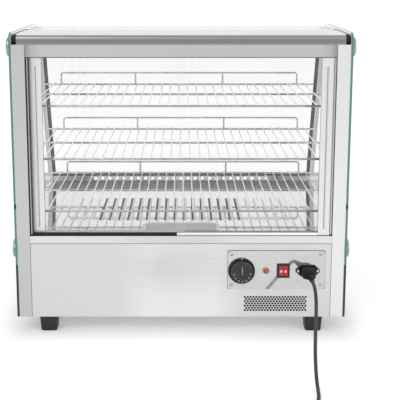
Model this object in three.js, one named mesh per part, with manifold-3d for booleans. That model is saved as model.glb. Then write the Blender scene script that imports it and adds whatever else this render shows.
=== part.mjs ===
// Countertop heated display case with a bent customer-side glass, seen from the service side.
// Millimetres, +X to the right, +Y away from the service side, +Z up, floor at z = 0.
// Inside the model group y is the depth behind the front plane of the steel body.
import * as THREE from 'three';
import { mergeVertices } from 'three/addons/utils/BufferGeometryUtils.js';
import Module from 'manifold-3d';

const wasm = await Module();
wasm.setup();

// Steel body
const bodyWidth = 678;
const bodyHeight = 626;
const baseDepth = 508;
const footHeight = 34;
const floorLevel = 205;
const steelSheet = 1.2;
const seatGap = 0.3;
const cutOverrun = 2;

// Front posts
const postWidth = 26;
const postDepth = 32;

// Top panel with its round nose, and the end plugs
const noseHeight = 19;
const topPanelDepth = 145;
const noseReturn = 30;
const plugWidth = 10;
const plugDepth = 21;
const sealStripWidth = 3;
const sealStripEnd = 175;
const noseSteps = 10;

// Glass
const sideGlassThickness = 5;
const sideGlassOverhang = 4;
const sideGlassRise = 4;
const sideGlassCorner = 17;
const sideGlassCornerSteps = 6;
const curvedGlassThickness = 5;
const curvedGlassFront = 22;
const curvedGlassInset = 9.5;
const glassBendRadius = 100;
const glassSlantAngle = 18.3;
const glassBendSteps = 14;
const gasketWidth = 9;
const gasketThickness = 3;
const gasketFootHeight = 22;

// Round clamp caps on the side glass
const capDiameter = 39;
const capThickness = 5.5;
const capRimRadius = 2;
const capStudDiameter = 9;
const capHoleDiameter = 10;
const capInset = 20;
const upperCapDrop = 25;
const lowerCapDrop = 26;
const capSides = 20;
const capRimSteps = 2;

// Header, sill and the two-lane sliding tracks
const headerHeight = 24.7;
const headerReturn = 16;
const sillFaceHeight = 16;
const sillRise = 5;
const sillBackRise = 2;
const trackWall = 1.8;
const trackWeb = 3;
const laneWidth = 11.6;
const frontLipDrop = 4;
const trackDividerRise = 3;
const upperTrackReveal = 1.7;

// Sliding doors
const doorOverlap = 16.8;
const doorThickness = 10;
const doorTopClearance = 8.2;
const doorGlassThickness = 4;
const doorGlassSlot = 4.6;
const doorGlassEngage = 8;
const stileWidth = 24;
const doorRailHeight = 17;
const fingerGrooveWidth = 5.5;
const fingerGrooveDepth = 3;
const fingerGrooveInset = 12.3;
const fingerGrooveFoot = 29;
const fingerGrooveHead = 34;
const grooveSteps = 6;

// Side jambs between post and door
const jambWidth = 4.8;
const jambLeg = 1.2;

// Wire shelves
const upperShelfDrop = 151;
const lowerShelfRise = 45;
const shelfShifts = { upper: -5, middle: -1, lower: 5 };
const nearRailDepth = 50;
const shelfGlassGap = 2.5;
const railRadius = 2.4;
const railOverhang = 7;
const railSides = 6;
const wireRadius = 1.5;
const wirePitch = 20.4;
const wireEndMargin = 27;
const wireOverhang = 3;
const wireSides = 4;
const weldSink = 0.6;

// Gallery rail that keeps the food on each shelf
const galleryEndMargin = 42;
const galleryWireGap = 1.9;
const galleryUprightWireCount = 5;
const galleryHeight = 28;
const galleryRadius = 2;
const galleryBend = 6;
const galleryBendSteps = 3;
const gallerySides = 6;

// Shelf arms hooked into the posts
const armThickness = 3;
const armRootHeight = 33;
const armTipHeight = 9;
const armTipReach = 20;
const hookHeight = 7;
const hookReach = 4.6;
const hookDrop = 5;
const hookClearance = 0.5;
const hookSpread = 16;
const notchSteps = 6;

// Base housing
const shellFlange = 15;
const panelFlange = 12;
const floorSlotLength = 60;
const floorSlotWidth = 5;
const floorSlotPitch = 14;
const floorSlotCount = 6;
const floorSlotSpread = 169;

// Perforated vent in the service panel
const ventColumnCount = 22;
const ventRowCount = 7;
const ventColumnPitch = 6.07;
const ventRowPitch = 4.83;
const ventHoleDiameter = 3.2;
const ventInset = 36.8;
const ventDrop = 18.5;
const ventHoleSides = 6;

// Water pan in the cavity floor
const panWidth = 154;
const panLength = 66;
const panDepth = 40;
const panFront = 40;
const panCorner = 14;
const panTaper = 4;
const panRim = 6;
const panWall = 1.2;
const panClearance = 0.8;
const panCornerSteps = 3;

// Feet
const footTopWidth = 38;
const footBottomWidth = 33.6;
const footCorner = 5;
const footToe = 1.5;
const footSideInset = 59.5;
const footInset = 22;

// Control plate
const plateWidth = 203;
const plateHeight = 83;
const plateSideInset = 39;
const plateTopInset = 14.7;
const plateThickness = 1.5;
const plateCorner = 7;
const controlDrop = 42.8;

// Thermostat with its knob
const thermostatInset = 29.2;
const dialDiameter = 55.6;
const dialRimWidth = 2.2;
const dialRimHeight = 5;
const dialWeb = 1.2;
const dialNeckDiameter = 12;
const dialBoreDiameter = 7;
const thermostatBodyDiameter = 38;
const thermostatBodyLength = 26;
const knobDiameter = 50;
const knobFaceDiameter = 47.4;
const knobReach = 22;
const knobShaftDiameter = 6;
const knobShaftLength = 16;
const knobEdge = 1.6;
const knobRibWidth = 1.4;
const knobRibHeight = 0.6;
const knobRibInset = 3;
const knobSides = 24;
const knobEdgeSteps = 2;

// Pilot lamp
const lampInset = 80;
const lampDiameter = 15;
const lampDome = 5;
const lampFlange = 1.6;
const lampBodyDiameter = 10;
const lampBodyLength = 20;
const lampSides = 16;
const lampDomeSteps = 3;

// Double rocker switch
const switchInset = 116;
const switchWidth = 26.2;
const switchHeight = 30.3;
const switchBezel = 2.4;
const switchBodyWidth = 22;
const switchBodyHeight = 27;
const switchBodyDepth = 24;
const switchWindowWidth = 19;
const switchWindowHeight = 22.6;
const switchWindowDepth = 12;
const rockerWidth = 9;
const rockerHeight = 21;
const rockerThickness = 9;
const rockerProud = 3.2;
const rockerDish = 1.4;
const rockerTiltAngle = 6;
const rockerPivotDepth = 3;

// Appliance inlet
const inletInset = 167;
const inletWidth = 50;
const inletHeight = 24;
const inletHolePitch = 40;
const inletHoleDiameter = 3.5;
const inletEarRadius = 5;
const inletFlange = 3;
const inletBodyWidth = 29;
const inletBodyHeight = 21.6;
const inletBodyDepth = 22;
const socketWidth = 24.4;
const socketHeight = 16.6;
const socketChamfer = 4;
const socketDepth = 15;
const pinWidth = 2;
const pinHeight = 4;
const pinLength = 12;
const pinSpread = 7;
const pinRise = 2;

// Connector, cord and mains plug
const connectorWidth = 27.6;
const connectorHeight = 20;
const connectorLength = 30;
const connectorCorner = 4;
const noseClearance = 0.4;
const noseLength = 14;
const reliefLength = 28;
const reliefRootDiameter = 14;
const reliefTipDiameter = 9.4;
const reliefRibCount = 4;
const reliefRibDepth = 0.8;
const cordDiameter = 7;
const cordSides = 8;
const cordSteps = 40;
const reliefSides = 8;
const coilTurnCount = 4.5;
const coilOuterRadius = 49;
const coilTurnPitch = 8;
const coilLayerRise = 7.8;
const coilOffset = 314;
const coilFront = 380;
const coilSteps = 24;
const coilSides = 6;
const leadOutLength = 50;
const plugBodyDiameter = 38;
const plugBodyLength = 34;
const plugGripDiameter = 27;
const plugGripLength = 22;
const plugPinDiameter = 4.8;
const plugPinLength = 19;
const plugPinPitch = 19;
const plugEdge = 2;
const plugShoulder = 6;
const plugSides = 16;
const floorClearance = 0.2;

// Lamp bar behind the header
const lampBarEndGap = 23;
const lampBarDepth = 14;
const lampBarHeight = 11;
const lampBarWall = 1.4;

const degree = Math.PI / 180;
const halfBody = bodyWidth / 2;
const halfOpening = halfBody - postWidth;
const sideGlassTop = bodyHeight + sideGlassRise;
const sideGlassDepth = baseDepth + sideGlassOverhang;
const curvedGlassFoot = baseDepth - curvedGlassInset;
const upperCapHeight = bodyHeight - upperCapDrop;
const lowerCapHeight = floorLevel - lowerCapDrop;
const midDepth = (sideGlassDepth - knobReach) / 2;

// Helpers that turn outlines into solids.

function facingOut(geometry) {
  const position = geometry.attributes.position;
  const index = geometry.index;
  let volume = 0;
  const a = new THREE.Vector3();
  const b = new THREE.Vector3();
  const c = new THREE.Vector3();
  for (let i = 0; i < index.count; i += 3) {
    a.fromBufferAttribute(position, index.getX(i));
    b.fromBufferAttribute(position, index.getX(i + 1));
    c.fromBufferAttribute(position, index.getX(i + 2));
    volume += a.dot(b.cross(c));
  }
  if (volume < 0) {
    for (let i = 0; i < index.count; i += 3) {
      const swap = index.getX(i);
      index.setX(i, index.getX(i + 1));
      index.setX(i + 1, swap);
    }
  }
  return geometry;
}

function solidFrom(geometry) {
  const bare = geometry.clone();
  bare.deleteAttribute('normal');
  bare.deleteAttribute('uv');
  const merged = facingOut(mergeVertices(bare));
  const source = merged.index;
  const corners = [];
  for (let i = 0; i < source.count; i += 3) {
    const face = [source.getX(i), source.getX(i + 1), source.getX(i + 2)];
    if (new Set(face).size === 3) {
      corners.push(...face);
    }
  }
  const vertProperties = new Float32Array(merged.attributes.position.array);
  return new wasm.Manifold(new wasm.Mesh({ numProp: 3, vertProperties, triVerts: new Uint32Array(corners) }));
}

function geometryFrom(solid) {
  const mesh = solid.getMesh();
  const geometry = new THREE.BufferGeometry();
  geometry.setAttribute('position', new THREE.BufferAttribute(new Float32Array(mesh.vertProperties), 3));
  geometry.setIndex(new THREE.BufferAttribute(new Uint32Array(mesh.triVerts), 1));
  const flat = geometry.toNonIndexed();
  flat.computeVertexNormals();
  return flat;
}

function join(...pieces) {
  return geometryFrom(pieces.map(solidFrom).reduce((sum, piece) => sum.add(piece)));
}

function cut(piece, ...cutters) {
  return geometryFrom(cutters.map(solidFrom).reduce((rest, cutter) => rest.subtract(cutter), solidFrom(piece)));
}

function polygon(points) {
  const corners = points.map(([u, v]) => new THREE.Vector2(u, v));
  return new THREE.Shape(THREE.ShapeUtils.isClockWise(corners) ? corners.reverse() : corners);
}

function extrude(shape, length, curveSegments) {
  return new THREE.ExtrudeGeometry(shape, { depth: length, bevelEnabled: false, curveSegments });
}

// An outline in depth and height, extruded across the case from x0 to x1
function acrossWidth(shape, x0, x1, curveSegments = 8) {
  const turn = new THREE.Matrix4().makeBasis(
    new THREE.Vector3(0, 1, 0), new THREE.Vector3(0, 0, 1), new THREE.Vector3(1, 0, 0));
  return extrude(shape, x1 - x0, curveSegments).applyMatrix4(turn).translate(x0, 0, 0);
}

// An outline in width and height, extruded from depth y0 to y1
function acrossDepth(shape, y0, y1, curveSegments = 8) {
  const turn = new THREE.Matrix4().makeBasis(
    new THREE.Vector3(1, 0, 0), new THREE.Vector3(0, 0, 1), new THREE.Vector3(0, -1, 0));
  return extrude(shape, y1 - y0, curveSegments).applyMatrix4(turn).translate(0, y1, 0);
}

// An outline in plan, extruded upward from z0 to z1
function upward(shape, z0, z1, curveSegments = 8) {
  return extrude(shape, z1 - z0, curveSegments).translate(0, 0, z0);
}

function block(x0, x1, y0, y1, z0, z1) {
  return new THREE.BoxGeometry(x1 - x0, y1 - y0, z1 - z0)
    .translate((x0 + x1) / 2, (y0 + y1) / 2, (z0 + z1) / 2);
}

function rodAcross(x0, x1, y, z, radius, sides) {
  return new THREE.CylinderGeometry(radius, radius, x1 - x0, sides)
    .rotateZ(-Math.PI / 2).translate((x0 + x1) / 2, y, z);
}

function rodBack(x, y0, y1, z, radius, sides) {
  return new THREE.CylinderGeometry(radius, radius, y1 - y0, sides).translate(x, (y0 + y1) / 2, z);
}

// A profile of [radius, depth] points turned about an axis that runs back
function turnedBack(points, sides, x, z) {
  const profile = points.map(([radius, y]) => new THREE.Vector2(radius, y));
  return geometryFrom(solidFrom(new THREE.LatheGeometry(profile, sides))).translate(x, 0, z);
}

function roundedRectangle(x0, x1, y0, y1, radius) {
  const shape = new THREE.Shape();
  shape.moveTo(x0 + radius, y0);
  shape.lineTo(x1 - radius, y0);
  shape.absarc(x1 - radius, y0 + radius, radius, -Math.PI / 2, 0);
  shape.lineTo(x1, y1 - radius);
  shape.absarc(x1 - radius, y1 - radius, radius, 0, Math.PI / 2);
  shape.lineTo(x0 + radius, y1);
  shape.absarc(x0 + radius, y1 - radius, radius, Math.PI / 2, Math.PI);
  shape.lineTo(x0, y0 + radius);
  shape.absarc(x0 + radius, y0 + radius, radius, Math.PI, 1.5 * Math.PI);
  return shape;
}

function arcPoints(cu, cv, radius, from, to, steps) {
  const points = [];
  for (let i = 0; i <= steps; i += 1) {
    const angle = from + (to - from) * i / steps;
    points.push([cu + radius * Math.cos(angle), cv + radius * Math.sin(angle)]);
  }
  return points;
}

// A closed skin through rings of equal point count, capped at both ends
function loft(rings) {
  const sides = rings[0].length;
  const positions = rings.flat().flat();
  const index = [];
  for (let r = 0; r < rings.length - 1; r += 1) {
    for (let s = 0; s < sides; s += 1) {
      const a = r * sides + s;
      const b = r * sides + (s + 1) % sides;
      index.push(a, b, b + sides, a, b + sides, a + sides);
    }
  }
  for (let s = 1; s < sides - 1; s += 1) {
    index.push(0, s + 1, s);
    const last = (rings.length - 1) * sides;
    index.push(last, last + s, last + s + 1);
  }
  const geometry = new THREE.BufferGeometry();
  geometry.setAttribute('position', new THREE.Float32BufferAttribute(positions, 3));
  geometry.setIndex(index);
  return geometry;
}

// A round tube through points; up is a direction that the path never runs along
function tubeAlong(points, radius, sides, up) {
  return loft(points.map((point, i) => {
    const before = points[Math.max(i - 1, 0)];
    const after = points[Math.min(i + 1, points.length - 1)];
    const along = after.clone().sub(before).normalize();
    const across = new THREE.Vector3().crossVectors(along, up).normalize();
    const over = new THREE.Vector3().crossVectors(across, along);
    return arcPoints(0, 0, radius, 0, 2 * Math.PI, sides).slice(0, -1).map(([u, v]) => {
      const corner = point.clone().addScaledVector(across, u).addScaledVector(over, v);
      return [corner.x, corner.y, corner.z];
    });
  }));
}

function ringFromShape(shape, z, curveSegments) {
  const points = shape.extractPoints(curveSegments).shape;
  const closed = points[0].distanceTo(points[points.length - 1]) < Number.EPSILON ** 0.5;
  return (closed ? points.slice(0, -1) : points).map((point) => [point.x, point.y, z]);
}

const material = {
  steel: { color: 0xc9cacb, roughness: 0.32, metalness: 0.9 },
  polishedSteel: { color: 0xd8d9da, roughness: 0.1, metalness: 1 },
  darkSteel: { color: 0x8c8d8f, roughness: 0.3, metalness: 0.9 },
  chrome: { color: 0xe4e6e8, roughness: 0.08, metalness: 1 },
  aluminium: { color: 0xd5d6d7, roughness: 0.4, metalness: 0.7 },
  glass: { color: 0xd6ebe4, roughness: 0.02, metalness: 0, transparent: true, opacity: 0.35 },
  rubber: { color: 0x3c3c3e, roughness: 0.6, metalness: 0 },
  blackPlastic: { color: 0x1f1f20, roughness: 0.45, metalness: 0 },
  knobPlastic: { color: 0x2e2e30, roughness: 0.5, metalness: 0 },
  lampOrange: { color: 0xd0642c, roughness: 0.25, metalness: 0 },
  rockerRed: { color: 0xd4141e, roughness: 0.2, metalness: 0 },
  cordRubber: { color: 0x3d3d3f, roughness: 0.55, metalness: 0 },
};

const model = new THREE.Group();
model.position.y = -midDepth;

function add(name, geometry, look) {
  const mesh = new THREE.Mesh(geometry, new THREE.MeshStandardMaterial(look));
  mesh.name = name;
  model.add(mesh);
  return mesh;
}

// Bent glass outline, shared by glass, gasket and side panes.

const slant = glassSlantAngle * degree;
const curvedGlassTop = bodyHeight - steelSheet - seatGap;
const bendTangent = glassBendRadius * Math.tan((Math.PI / 2 - slant) / 2);
const glassCornerDepth = curvedGlassFoot - Math.tan(slant) * (curvedGlassTop - floorLevel);
const bendCentre = [glassCornerDepth - bendTangent, curvedGlassTop - glassBendRadius];

// The outer face of the bent glass moved inward, from a front depth to a foot height
function bentPath(inward, frontDepth, footZ) {
  const radius = glassBendRadius - inward;
  const bend = arcPoints(bendCentre[0], bendCentre[1], radius, Math.PI / 2, slant, glassBendSteps);
  const [endY, endZ] = bend[bend.length - 1];
  return [[frontDepth, curvedGlassTop - inward], ...bend, [endY + Math.tan(slant) * (endZ - footZ), footZ]];
}

// Depth of the bent glass's inner face at a height
function glassInnerDepth(z) {
  const radius = glassBendRadius - curvedGlassThickness;
  const rise = z - bendCentre[1];
  if (rise > radius * Math.sin(slant)) {
    return bendCentre[0] + Math.sqrt(Math.max(radius * radius - rise * rise, 0));
  }
  return curvedGlassFoot - Math.tan(slant) * (z - floorLevel) - curvedGlassThickness / Math.cos(slant);
}

// Posts, top panel, header and sill.

const headerTop = bodyHeight - noseHeight - seatGap;
const headerBottom = headerTop - headerHeight;
const baseBottom = footHeight;
const armX = halfBody - postWidth / 2;
const upperShelfLevel = bodyHeight - upperShelfDrop;
const lowerShelfLevel = floorLevel + lowerShelfRise;
const shelfLevels = {
  upper: upperShelfLevel, middle: (upperShelfLevel + lowerShelfLevel) / 2, lower: lowerShelfLevel,
};
const farRailDepth = glassInnerDepth(upperShelfLevel + railRadius + galleryHeight)
  - galleryRadius - shelfGlassGap;
const middleRailDepth = (nearRailDepth + farRailDepth) / 2;
const railReach = armX + railOverhang;

// Lower edges of an arm's two hooks where they pass through the post
function hookHeights(level) {
  const top = level - railRadius - hookHeight;
  return [top, top - hookSpread];
}

function mirrored(geometry, side) {
  return side < 0 ? geometryFrom(solidFrom(geometry.clone().scale(-1, 1, 1))) : geometry;
}

function postGeometry() {
  const inner = halfOpening;
  const outline = polygon([[inner, 0], [halfBody, 0], [halfBody, postDepth], [inner, postDepth]]);
  outline.holes.push(polygon([
    [inner + steelSheet, steelSheet], [inner + steelSheet, postDepth - steelSheet],
    [halfBody - steelSheet, postDepth - steelSheet], [halfBody - steelSheet, steelSheet],
  ]));
  const slots = Object.values(shelfLevels).flatMap((level) => hookHeights(level).map((z) => block(
    armX - armThickness / 2 - hookClearance, armX + armThickness / 2 + hookClearance,
    postDepth - steelSheet - cutOverrun, postDepth + cutOverrun,
    z - hookClearance, z + hookHeight + hookClearance)));
  return cut(upward(outline, baseBottom, headerTop), ...slots);
}

for (const [word, side] of [['left', -1], ['right', 1]]) {
  add(`post_${word}`, mirrored(postGeometry(), side), material.steel);
}

const noseRadius = noseHeight / 2;
const noseCentre = [noseRadius, bodyHeight - noseRadius];
const noseOutside = arcPoints(...noseCentre, noseRadius, Math.PI / 2, 1.5 * Math.PI, noseSteps);
const noseInside = arcPoints(...noseCentre, noseRadius - steelSheet, 1.5 * Math.PI, Math.PI / 2, noseSteps);
const topProfile = [
  [topPanelDepth, bodyHeight], ...noseOutside, [noseReturn, bodyHeight - noseHeight],
  [noseReturn, bodyHeight - noseHeight + steelSheet], ...noseInside,
  [topPanelDepth, bodyHeight - steelSheet],
];
const noseHalf = halfBody - plugWidth;
const sealInner = halfBody - seatGap - sealStripWidth;
const topHalf = sealInner - seatGap;
const sheetBottom = bodyHeight - steelSheet;
add('top_panel', join(
  acrossWidth(polygon(topProfile), -noseHalf, noseHalf),
  block(-topHalf, topHalf, plugDepth + seatGap, topPanelDepth, sheetBottom, bodyHeight)), material.darkSteel);

const plugOutline = [
  [plugDepth, bodyHeight], ...noseOutside, [plugDepth, bodyHeight - noseHeight],
];
const endPlug = join(
  acrossWidth(polygon(plugOutline), noseHalf + seatGap, halfBody - seatGap),
  block(sealInner, halfBody - seatGap, noseRadius, sealStripEnd, sheetBottom, bodyHeight));
add('top_plug_left', mirrored(endPlug, -1), material.blackPlastic);
add('top_plug_right', endPlug, material.blackPlastic);

// The tracks are combs of three walls on a web, the same lanes above and below
const trackFront = steelSheet + seatGap;
const trackBack = trackFront + 3 * trackWall + 2 * laneWidth;
const railHalf = halfOpening - seatGap;
const trackHalf = railHalf - seatGap;
const channelBack = trackBack + seatGap + steelSheet;
const frontLane = trackFront + trackWall + laneWidth / 2;
const rearLane = frontLane + laneWidth + trackWall;
const sillTop = floorLevel + sillRise;
const sillBottom = sillTop - sillFaceHeight;
const frontLipTop = sillTop - frontLipDrop;
const trackDividerTop = sillTop + trackDividerRise;
const upperTrackBottom = headerBottom - upperTrackReveal;

add('header_rail', acrossWidth(polygon([
  [0, headerBottom], [steelSheet, headerBottom], [steelSheet, headerTop - steelSheet],
  [channelBack - steelSheet, headerTop - steelSheet], [channelBack - steelSheet, headerTop - headerReturn],
  [channelBack, headerTop - headerReturn], [channelBack, headerTop], [0, headerTop],
]), -railHalf, railHalf), material.steel);

add('sill_rail', acrossWidth(polygon([
  [0, sillBottom], [channelBack, sillBottom], [channelBack, sillTop + sillBackRise],
  [channelBack - steelSheet, sillTop + sillBackRise], [channelBack - steelSheet, sillBottom + steelSheet],
  [steelSheet, sillBottom + steelSheet], [steelSheet, sillTop], [0, sillTop],
]), -railHalf, railHalf), material.steel);

const lowerWebBottom = sillBottom + steelSheet + seatGap;
const lowerWebTop = lowerWebBottom + trackWeb;
const dividerFront = trackFront + trackWall + laneWidth;
const backWallFront = dividerFront + trackWall + laneWidth;
add('lower_track', acrossWidth(polygon([
  [trackFront, lowerWebBottom], [trackBack, lowerWebBottom], [trackBack, trackDividerTop],
  [backWallFront, trackDividerTop], [backWallFront, lowerWebTop],
  [dividerFront + trackWall, lowerWebTop], [dividerFront + trackWall, trackDividerTop],
  [dividerFront, trackDividerTop], [dividerFront, lowerWebTop],
  [trackFront + trackWall, lowerWebTop], [trackFront + trackWall, frontLipTop], [trackFront, frontLipTop],
]), -trackHalf, trackHalf), material.blackPlastic);

const upperWebTop = headerTop - steelSheet - seatGap;
const upperWebBottom = upperWebTop - trackWeb;
add('upper_track', acrossWidth(polygon([
  [trackFront, upperTrackBottom], [trackFront + trackWall, upperTrackBottom],
  [trackFront + trackWall, upperWebBottom], [dividerFront, upperWebBottom],
  [dividerFront, upperTrackBottom], [dividerFront + trackWall, upperTrackBottom],
  [dividerFront + trackWall, upperWebBottom], [backWallFront, upperWebBottom],
  [backWallFront, upperTrackBottom], [trackBack, upperTrackBottom],
  [trackBack, upperWebTop], [trackFront, upperWebTop],
]), -trackHalf, trackHalf), material.blackPlastic);

// Jamb: a channel open to the front that the closed door stile meets
const jambInner = railHalf - jambWidth;
const jamb = upward(polygon([
  [jambInner, trackFront], [jambInner + jambLeg, trackFront],
  [jambInner + jambLeg, trackBack - jambLeg], [railHalf - jambLeg, trackBack - jambLeg],
  [railHalf - jambLeg, trackFront], [railHalf, trackFront], [railHalf, trackBack], [jambInner, trackBack],
]), trackDividerTop + seatGap, upperTrackBottom - seatGap);
add('jamb_left', mirrored(jamb, -1), material.rubber);
add('jamb_right', jamb, material.rubber);

// Side panes with their clamp caps, bent glass and gasket.

const paneBend = bentPath(curvedGlassTop - sideGlassTop, 0, floorLevel).slice(1, -1);
const [bendEndY, bendEndZ] = paneBend[paneBend.length - 1];
const paneKneeZ = bendEndZ - (sideGlassDepth - bendEndY) / Math.tan(slant);
const paneCorner = arcPoints(sideGlassCorner, sideGlassTop - sideGlassCorner, sideGlassCorner,
  Math.PI, Math.PI / 2, sideGlassCornerSteps);
const paneOutline = polygon([
  [0, baseBottom], ...paneCorner, ...paneBend, [sideGlassDepth, paneKneeZ], [sideGlassDepth, baseBottom],
]);
for (const level of [upperCapHeight, lowerCapHeight]) {
  const hole = new THREE.Path();
  hole.absarc(capInset, level, capHoleDiameter / 2, 0, 2 * Math.PI, true);
  paneOutline.holes.push(hole);
}
const paneInner = halfBody + seatGap;
const paneOuter = paneInner + sideGlassThickness;
const sidePane = acrossWidth(paneOutline, paneInner, paneOuter, 6);
add('side_glass_left', mirrored(sidePane, -1), material.glass);
add('side_glass_right', sidePane, material.glass);

// The cap's profile runs from its stud behind the glass to the domed face
const capBack = paneOuter + seatGap;
const capFace = capBack + capThickness;
const capProfile = [
  [0, halfBody + seatGap], [capStudDiameter / 2, halfBody + seatGap], [capStudDiameter / 2, capBack],
  [capDiameter / 2, capBack], [capDiameter / 2, capFace - capRimRadius],
  ...arcPoints(capDiameter / 2 - capRimRadius, capFace - capRimRadius, capRimRadius, 0, Math.PI / 2,
    capRimSteps).slice(1),
  [0, capFace],
];
const clampCap = turnedBack(capProfile, capSides, 0, 0).rotateZ(-Math.PI / 2);
for (const [word, level] of [['upper', upperCapHeight], ['lower', lowerCapHeight]]) {
  const cap = clampCap.clone().translate(0, capInset, level);
  add(`clamp_cap_left_${word}`, mirrored(cap, -1), material.chrome);
  add(`clamp_cap_right_${word}`, cap, material.chrome);
}

const curvedHalf = halfBody - seatGap;
add('curved_glass', acrossWidth(polygon([
  ...bentPath(0, curvedGlassFront, floorLevel + seatGap),
  ...bentPath(curvedGlassThickness, curvedGlassFront, floorLevel + seatGap).reverse(),
]), -curvedHalf, curvedHalf), material.glass);

const gasketOuter = curvedGlassThickness + seatGap;
const gasketBand = acrossWidth(polygon([
  ...bentPath(gasketOuter, noseReturn + seatGap, floorLevel + seatGap),
  ...bentPath(gasketOuter + gasketThickness, noseReturn + seatGap, floorLevel + seatGap).reverse(),
]), -curvedHalf, curvedHalf);
const gasketWindow = curvedHalf - gasketWidth;
add('glass_gasket', cut(gasketBand, block(-gasketWindow, gasketWindow, 0, sideGlassDepth,
  floorLevel + gasketFootHeight, bodyHeight)), material.rubber);

// Base housing.

const shellFront = postDepth + seatGap;
const shellTop = floorLevel - steelSheet - seatGap;
function shellPlan(wall) {
  return polygon([
    [-halfBody, shellFront], [-halfBody + wall, shellFront], [-halfBody + wall, baseDepth - wall],
    [halfBody - wall, baseDepth - wall], [halfBody - wall, shellFront], [halfBody, shellFront],
    [halfBody, baseDepth], [-halfBody, baseDepth],
  ]);
}
add('base_shell', join(
  upward(shellPlan(steelSheet), baseBottom, shellTop),
  upward(shellPlan(shellFlange), shellTop - steelSheet, shellTop)), material.steel);

const bottomHalf = halfBody - steelSheet - seatGap;
const bottomBack = baseDepth - steelSheet - seatGap;
const bottomFront = steelSheet + seatGap;
const bottomOutline = polygon([
  [-railHalf, bottomFront], [railHalf, bottomFront], [railHalf, shellFront], [bottomHalf, shellFront],
  [bottomHalf, bottomBack], [-bottomHalf, bottomBack], [-bottomHalf, shellFront], [-railHalf, shellFront],
]);
const airSlots = [-1, 1].flatMap((side) => Array.from({ length: floorSlotCount }, (_, i) => {
  const x = side * floorSlotSpread;
  const y = baseDepth / 2 + (i - (floorSlotCount - 1) / 2) * floorSlotPitch;
  return block(x - floorSlotLength / 2, x + floorSlotLength / 2, y, y + floorSlotWidth,
    baseBottom - cutOverrun, baseBottom + steelSheet + cutOverrun);
}));
add('base_bottom', cut(upward(bottomOutline, baseBottom, baseBottom + steelSheet), ...airSlots), material.steel);

function roundHole(x, diameter) {
  const hole = new THREE.Path();
  hole.absarc(x, controlLevel, diameter / 2 + seatGap, 0, 2 * Math.PI, true);
  return hole;
}

function squareHole(x, width, height) {
  const halfW = width / 2 + seatGap;
  const halfH = height / 2 + seatGap;
  return polygon([
    [x - halfW, controlLevel - halfH], [x + halfW, controlLevel - halfH],
    [x + halfW, controlLevel + halfH], [x - halfW, controlLevel + halfH],
  ]);
}

// The same four holes go through the control plate and the panel behind it
function fittingHoles() {
  return [
    roundHole(thermostatX, dialNeckDiameter), roundHole(lampX, lampBodyDiameter),
    squareHole(switchX, switchBodyWidth, switchBodyHeight), squareHole(inletX, inletBodyWidth, inletBodyHeight),
  ];
}

const panelTop = sillBottom - seatGap;
const plateRight = halfBody - plateSideInset;
const plateLeft = plateRight - plateWidth;
const plateTop = panelTop - plateTopInset;
const plateBottom = plateTop - plateHeight;
const controlLevel = plateTop - controlDrop;
const thermostatX = plateLeft + thermostatInset;
const lampX = plateLeft + lampInset;
const switchX = plateLeft + switchInset;
const inletX = plateLeft + inletInset;
const ventLeft = plateLeft + ventInset;
const ventTop = plateBottom - ventDrop;
const panelOutline = polygon([
  [-railHalf, baseBottom], [railHalf, baseBottom], [railHalf, panelTop], [-railHalf, panelTop],
]);
panelOutline.holes.push(...fittingHoles());
for (let row = 0; row < ventRowCount; row += 1) {
  const staggered = row % 2;
  for (let column = 0; column < ventColumnCount - staggered; column += 1) {
    const x = ventLeft + (column + staggered / 2) * ventColumnPitch;
    const z = ventTop - row * ventRowPitch;
    panelOutline.holes.push(polygon(
      arcPoints(x, z, ventHoleDiameter / 2, 2 * Math.PI, 0, ventHoleSides).slice(0, -1)));
  }
}
add('service_panel', join(
  acrossDepth(panelOutline, 0, steelSheet),
  block(-railHalf, railHalf, 0, panelFlange, panelTop - steelSheet, panelTop)), material.steel);

const floorOutline = polygon([
  [-curvedHalf, shellFront], [curvedHalf, shellFront], [curvedHalf, baseDepth], [-curvedHalf, baseDepth],
]);
floorOutline.holes.push(roundedRectangle(
  -panWidth / 2 - panClearance, panWidth / 2 + panClearance,
  panFront - panClearance, panFront + panLength + panClearance, panCorner));
add('cavity_floor', upward(floorOutline, floorLevel - steelSheet, floorLevel, panCornerSteps), material.polishedSteel);

// The pan is a drawn tray: a tapered well inside and outside, with a flat rim
const panRimBottom = floorLevel + seatGap;
const panRimTop = panRimBottom + panWall;
function panRing(inset, z) {
  return ringFromShape(roundedRectangle(
    -panWidth / 2 + inset, panWidth / 2 - inset,
    panFront + inset, panFront + panLength - inset, panCorner - inset), z, panCornerSteps);
}
const panOuter = loft([panRing(panTaper, floorLevel - panDepth), panRing(0, panRimTop)]);
const panInner = loft([
  panRing(panTaper + panWall, floorLevel - panDepth + panWall), panRing(panWall, panRimTop + cutOverrun)]);
const panRimPlate = upward(roundedRectangle(
  -panWidth / 2 - panRim, panWidth / 2 + panRim,
  panFront - panRim, panFront + panLength + panRim, panCorner + panRim), panRimBottom, panRimTop, panCornerSteps);
add('water_pan', cut(join(panOuter, panRimPlate), panInner), material.polishedSteel);

const footTop = footHeight - seatGap;
function footRing(width, z) {
  return ringFromShape(roundedRectangle(-width / 2, width / 2, -width / 2, width / 2, footCorner), z, 2);
}
const foot = loft([
  footRing(footBottomWidth - 2 * footToe, 0), footRing(footBottomWidth, footToe), footRing(footTopWidth, footTop)]);
const footX = halfBody - footSideInset;
for (const [word, x, y] of [
  ['front_left', -footX, footInset], ['front_right', footX, footInset],
  ['rear_left', -footX, baseDepth - footInset], ['rear_right', footX, baseDepth - footInset],
]) {
  add(`foot_${word}`, geometryFrom(solidFrom(foot)), material.blackPlastic).position.set(x, y, 0);
}

// Wire shelves, galleries and arms.

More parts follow.
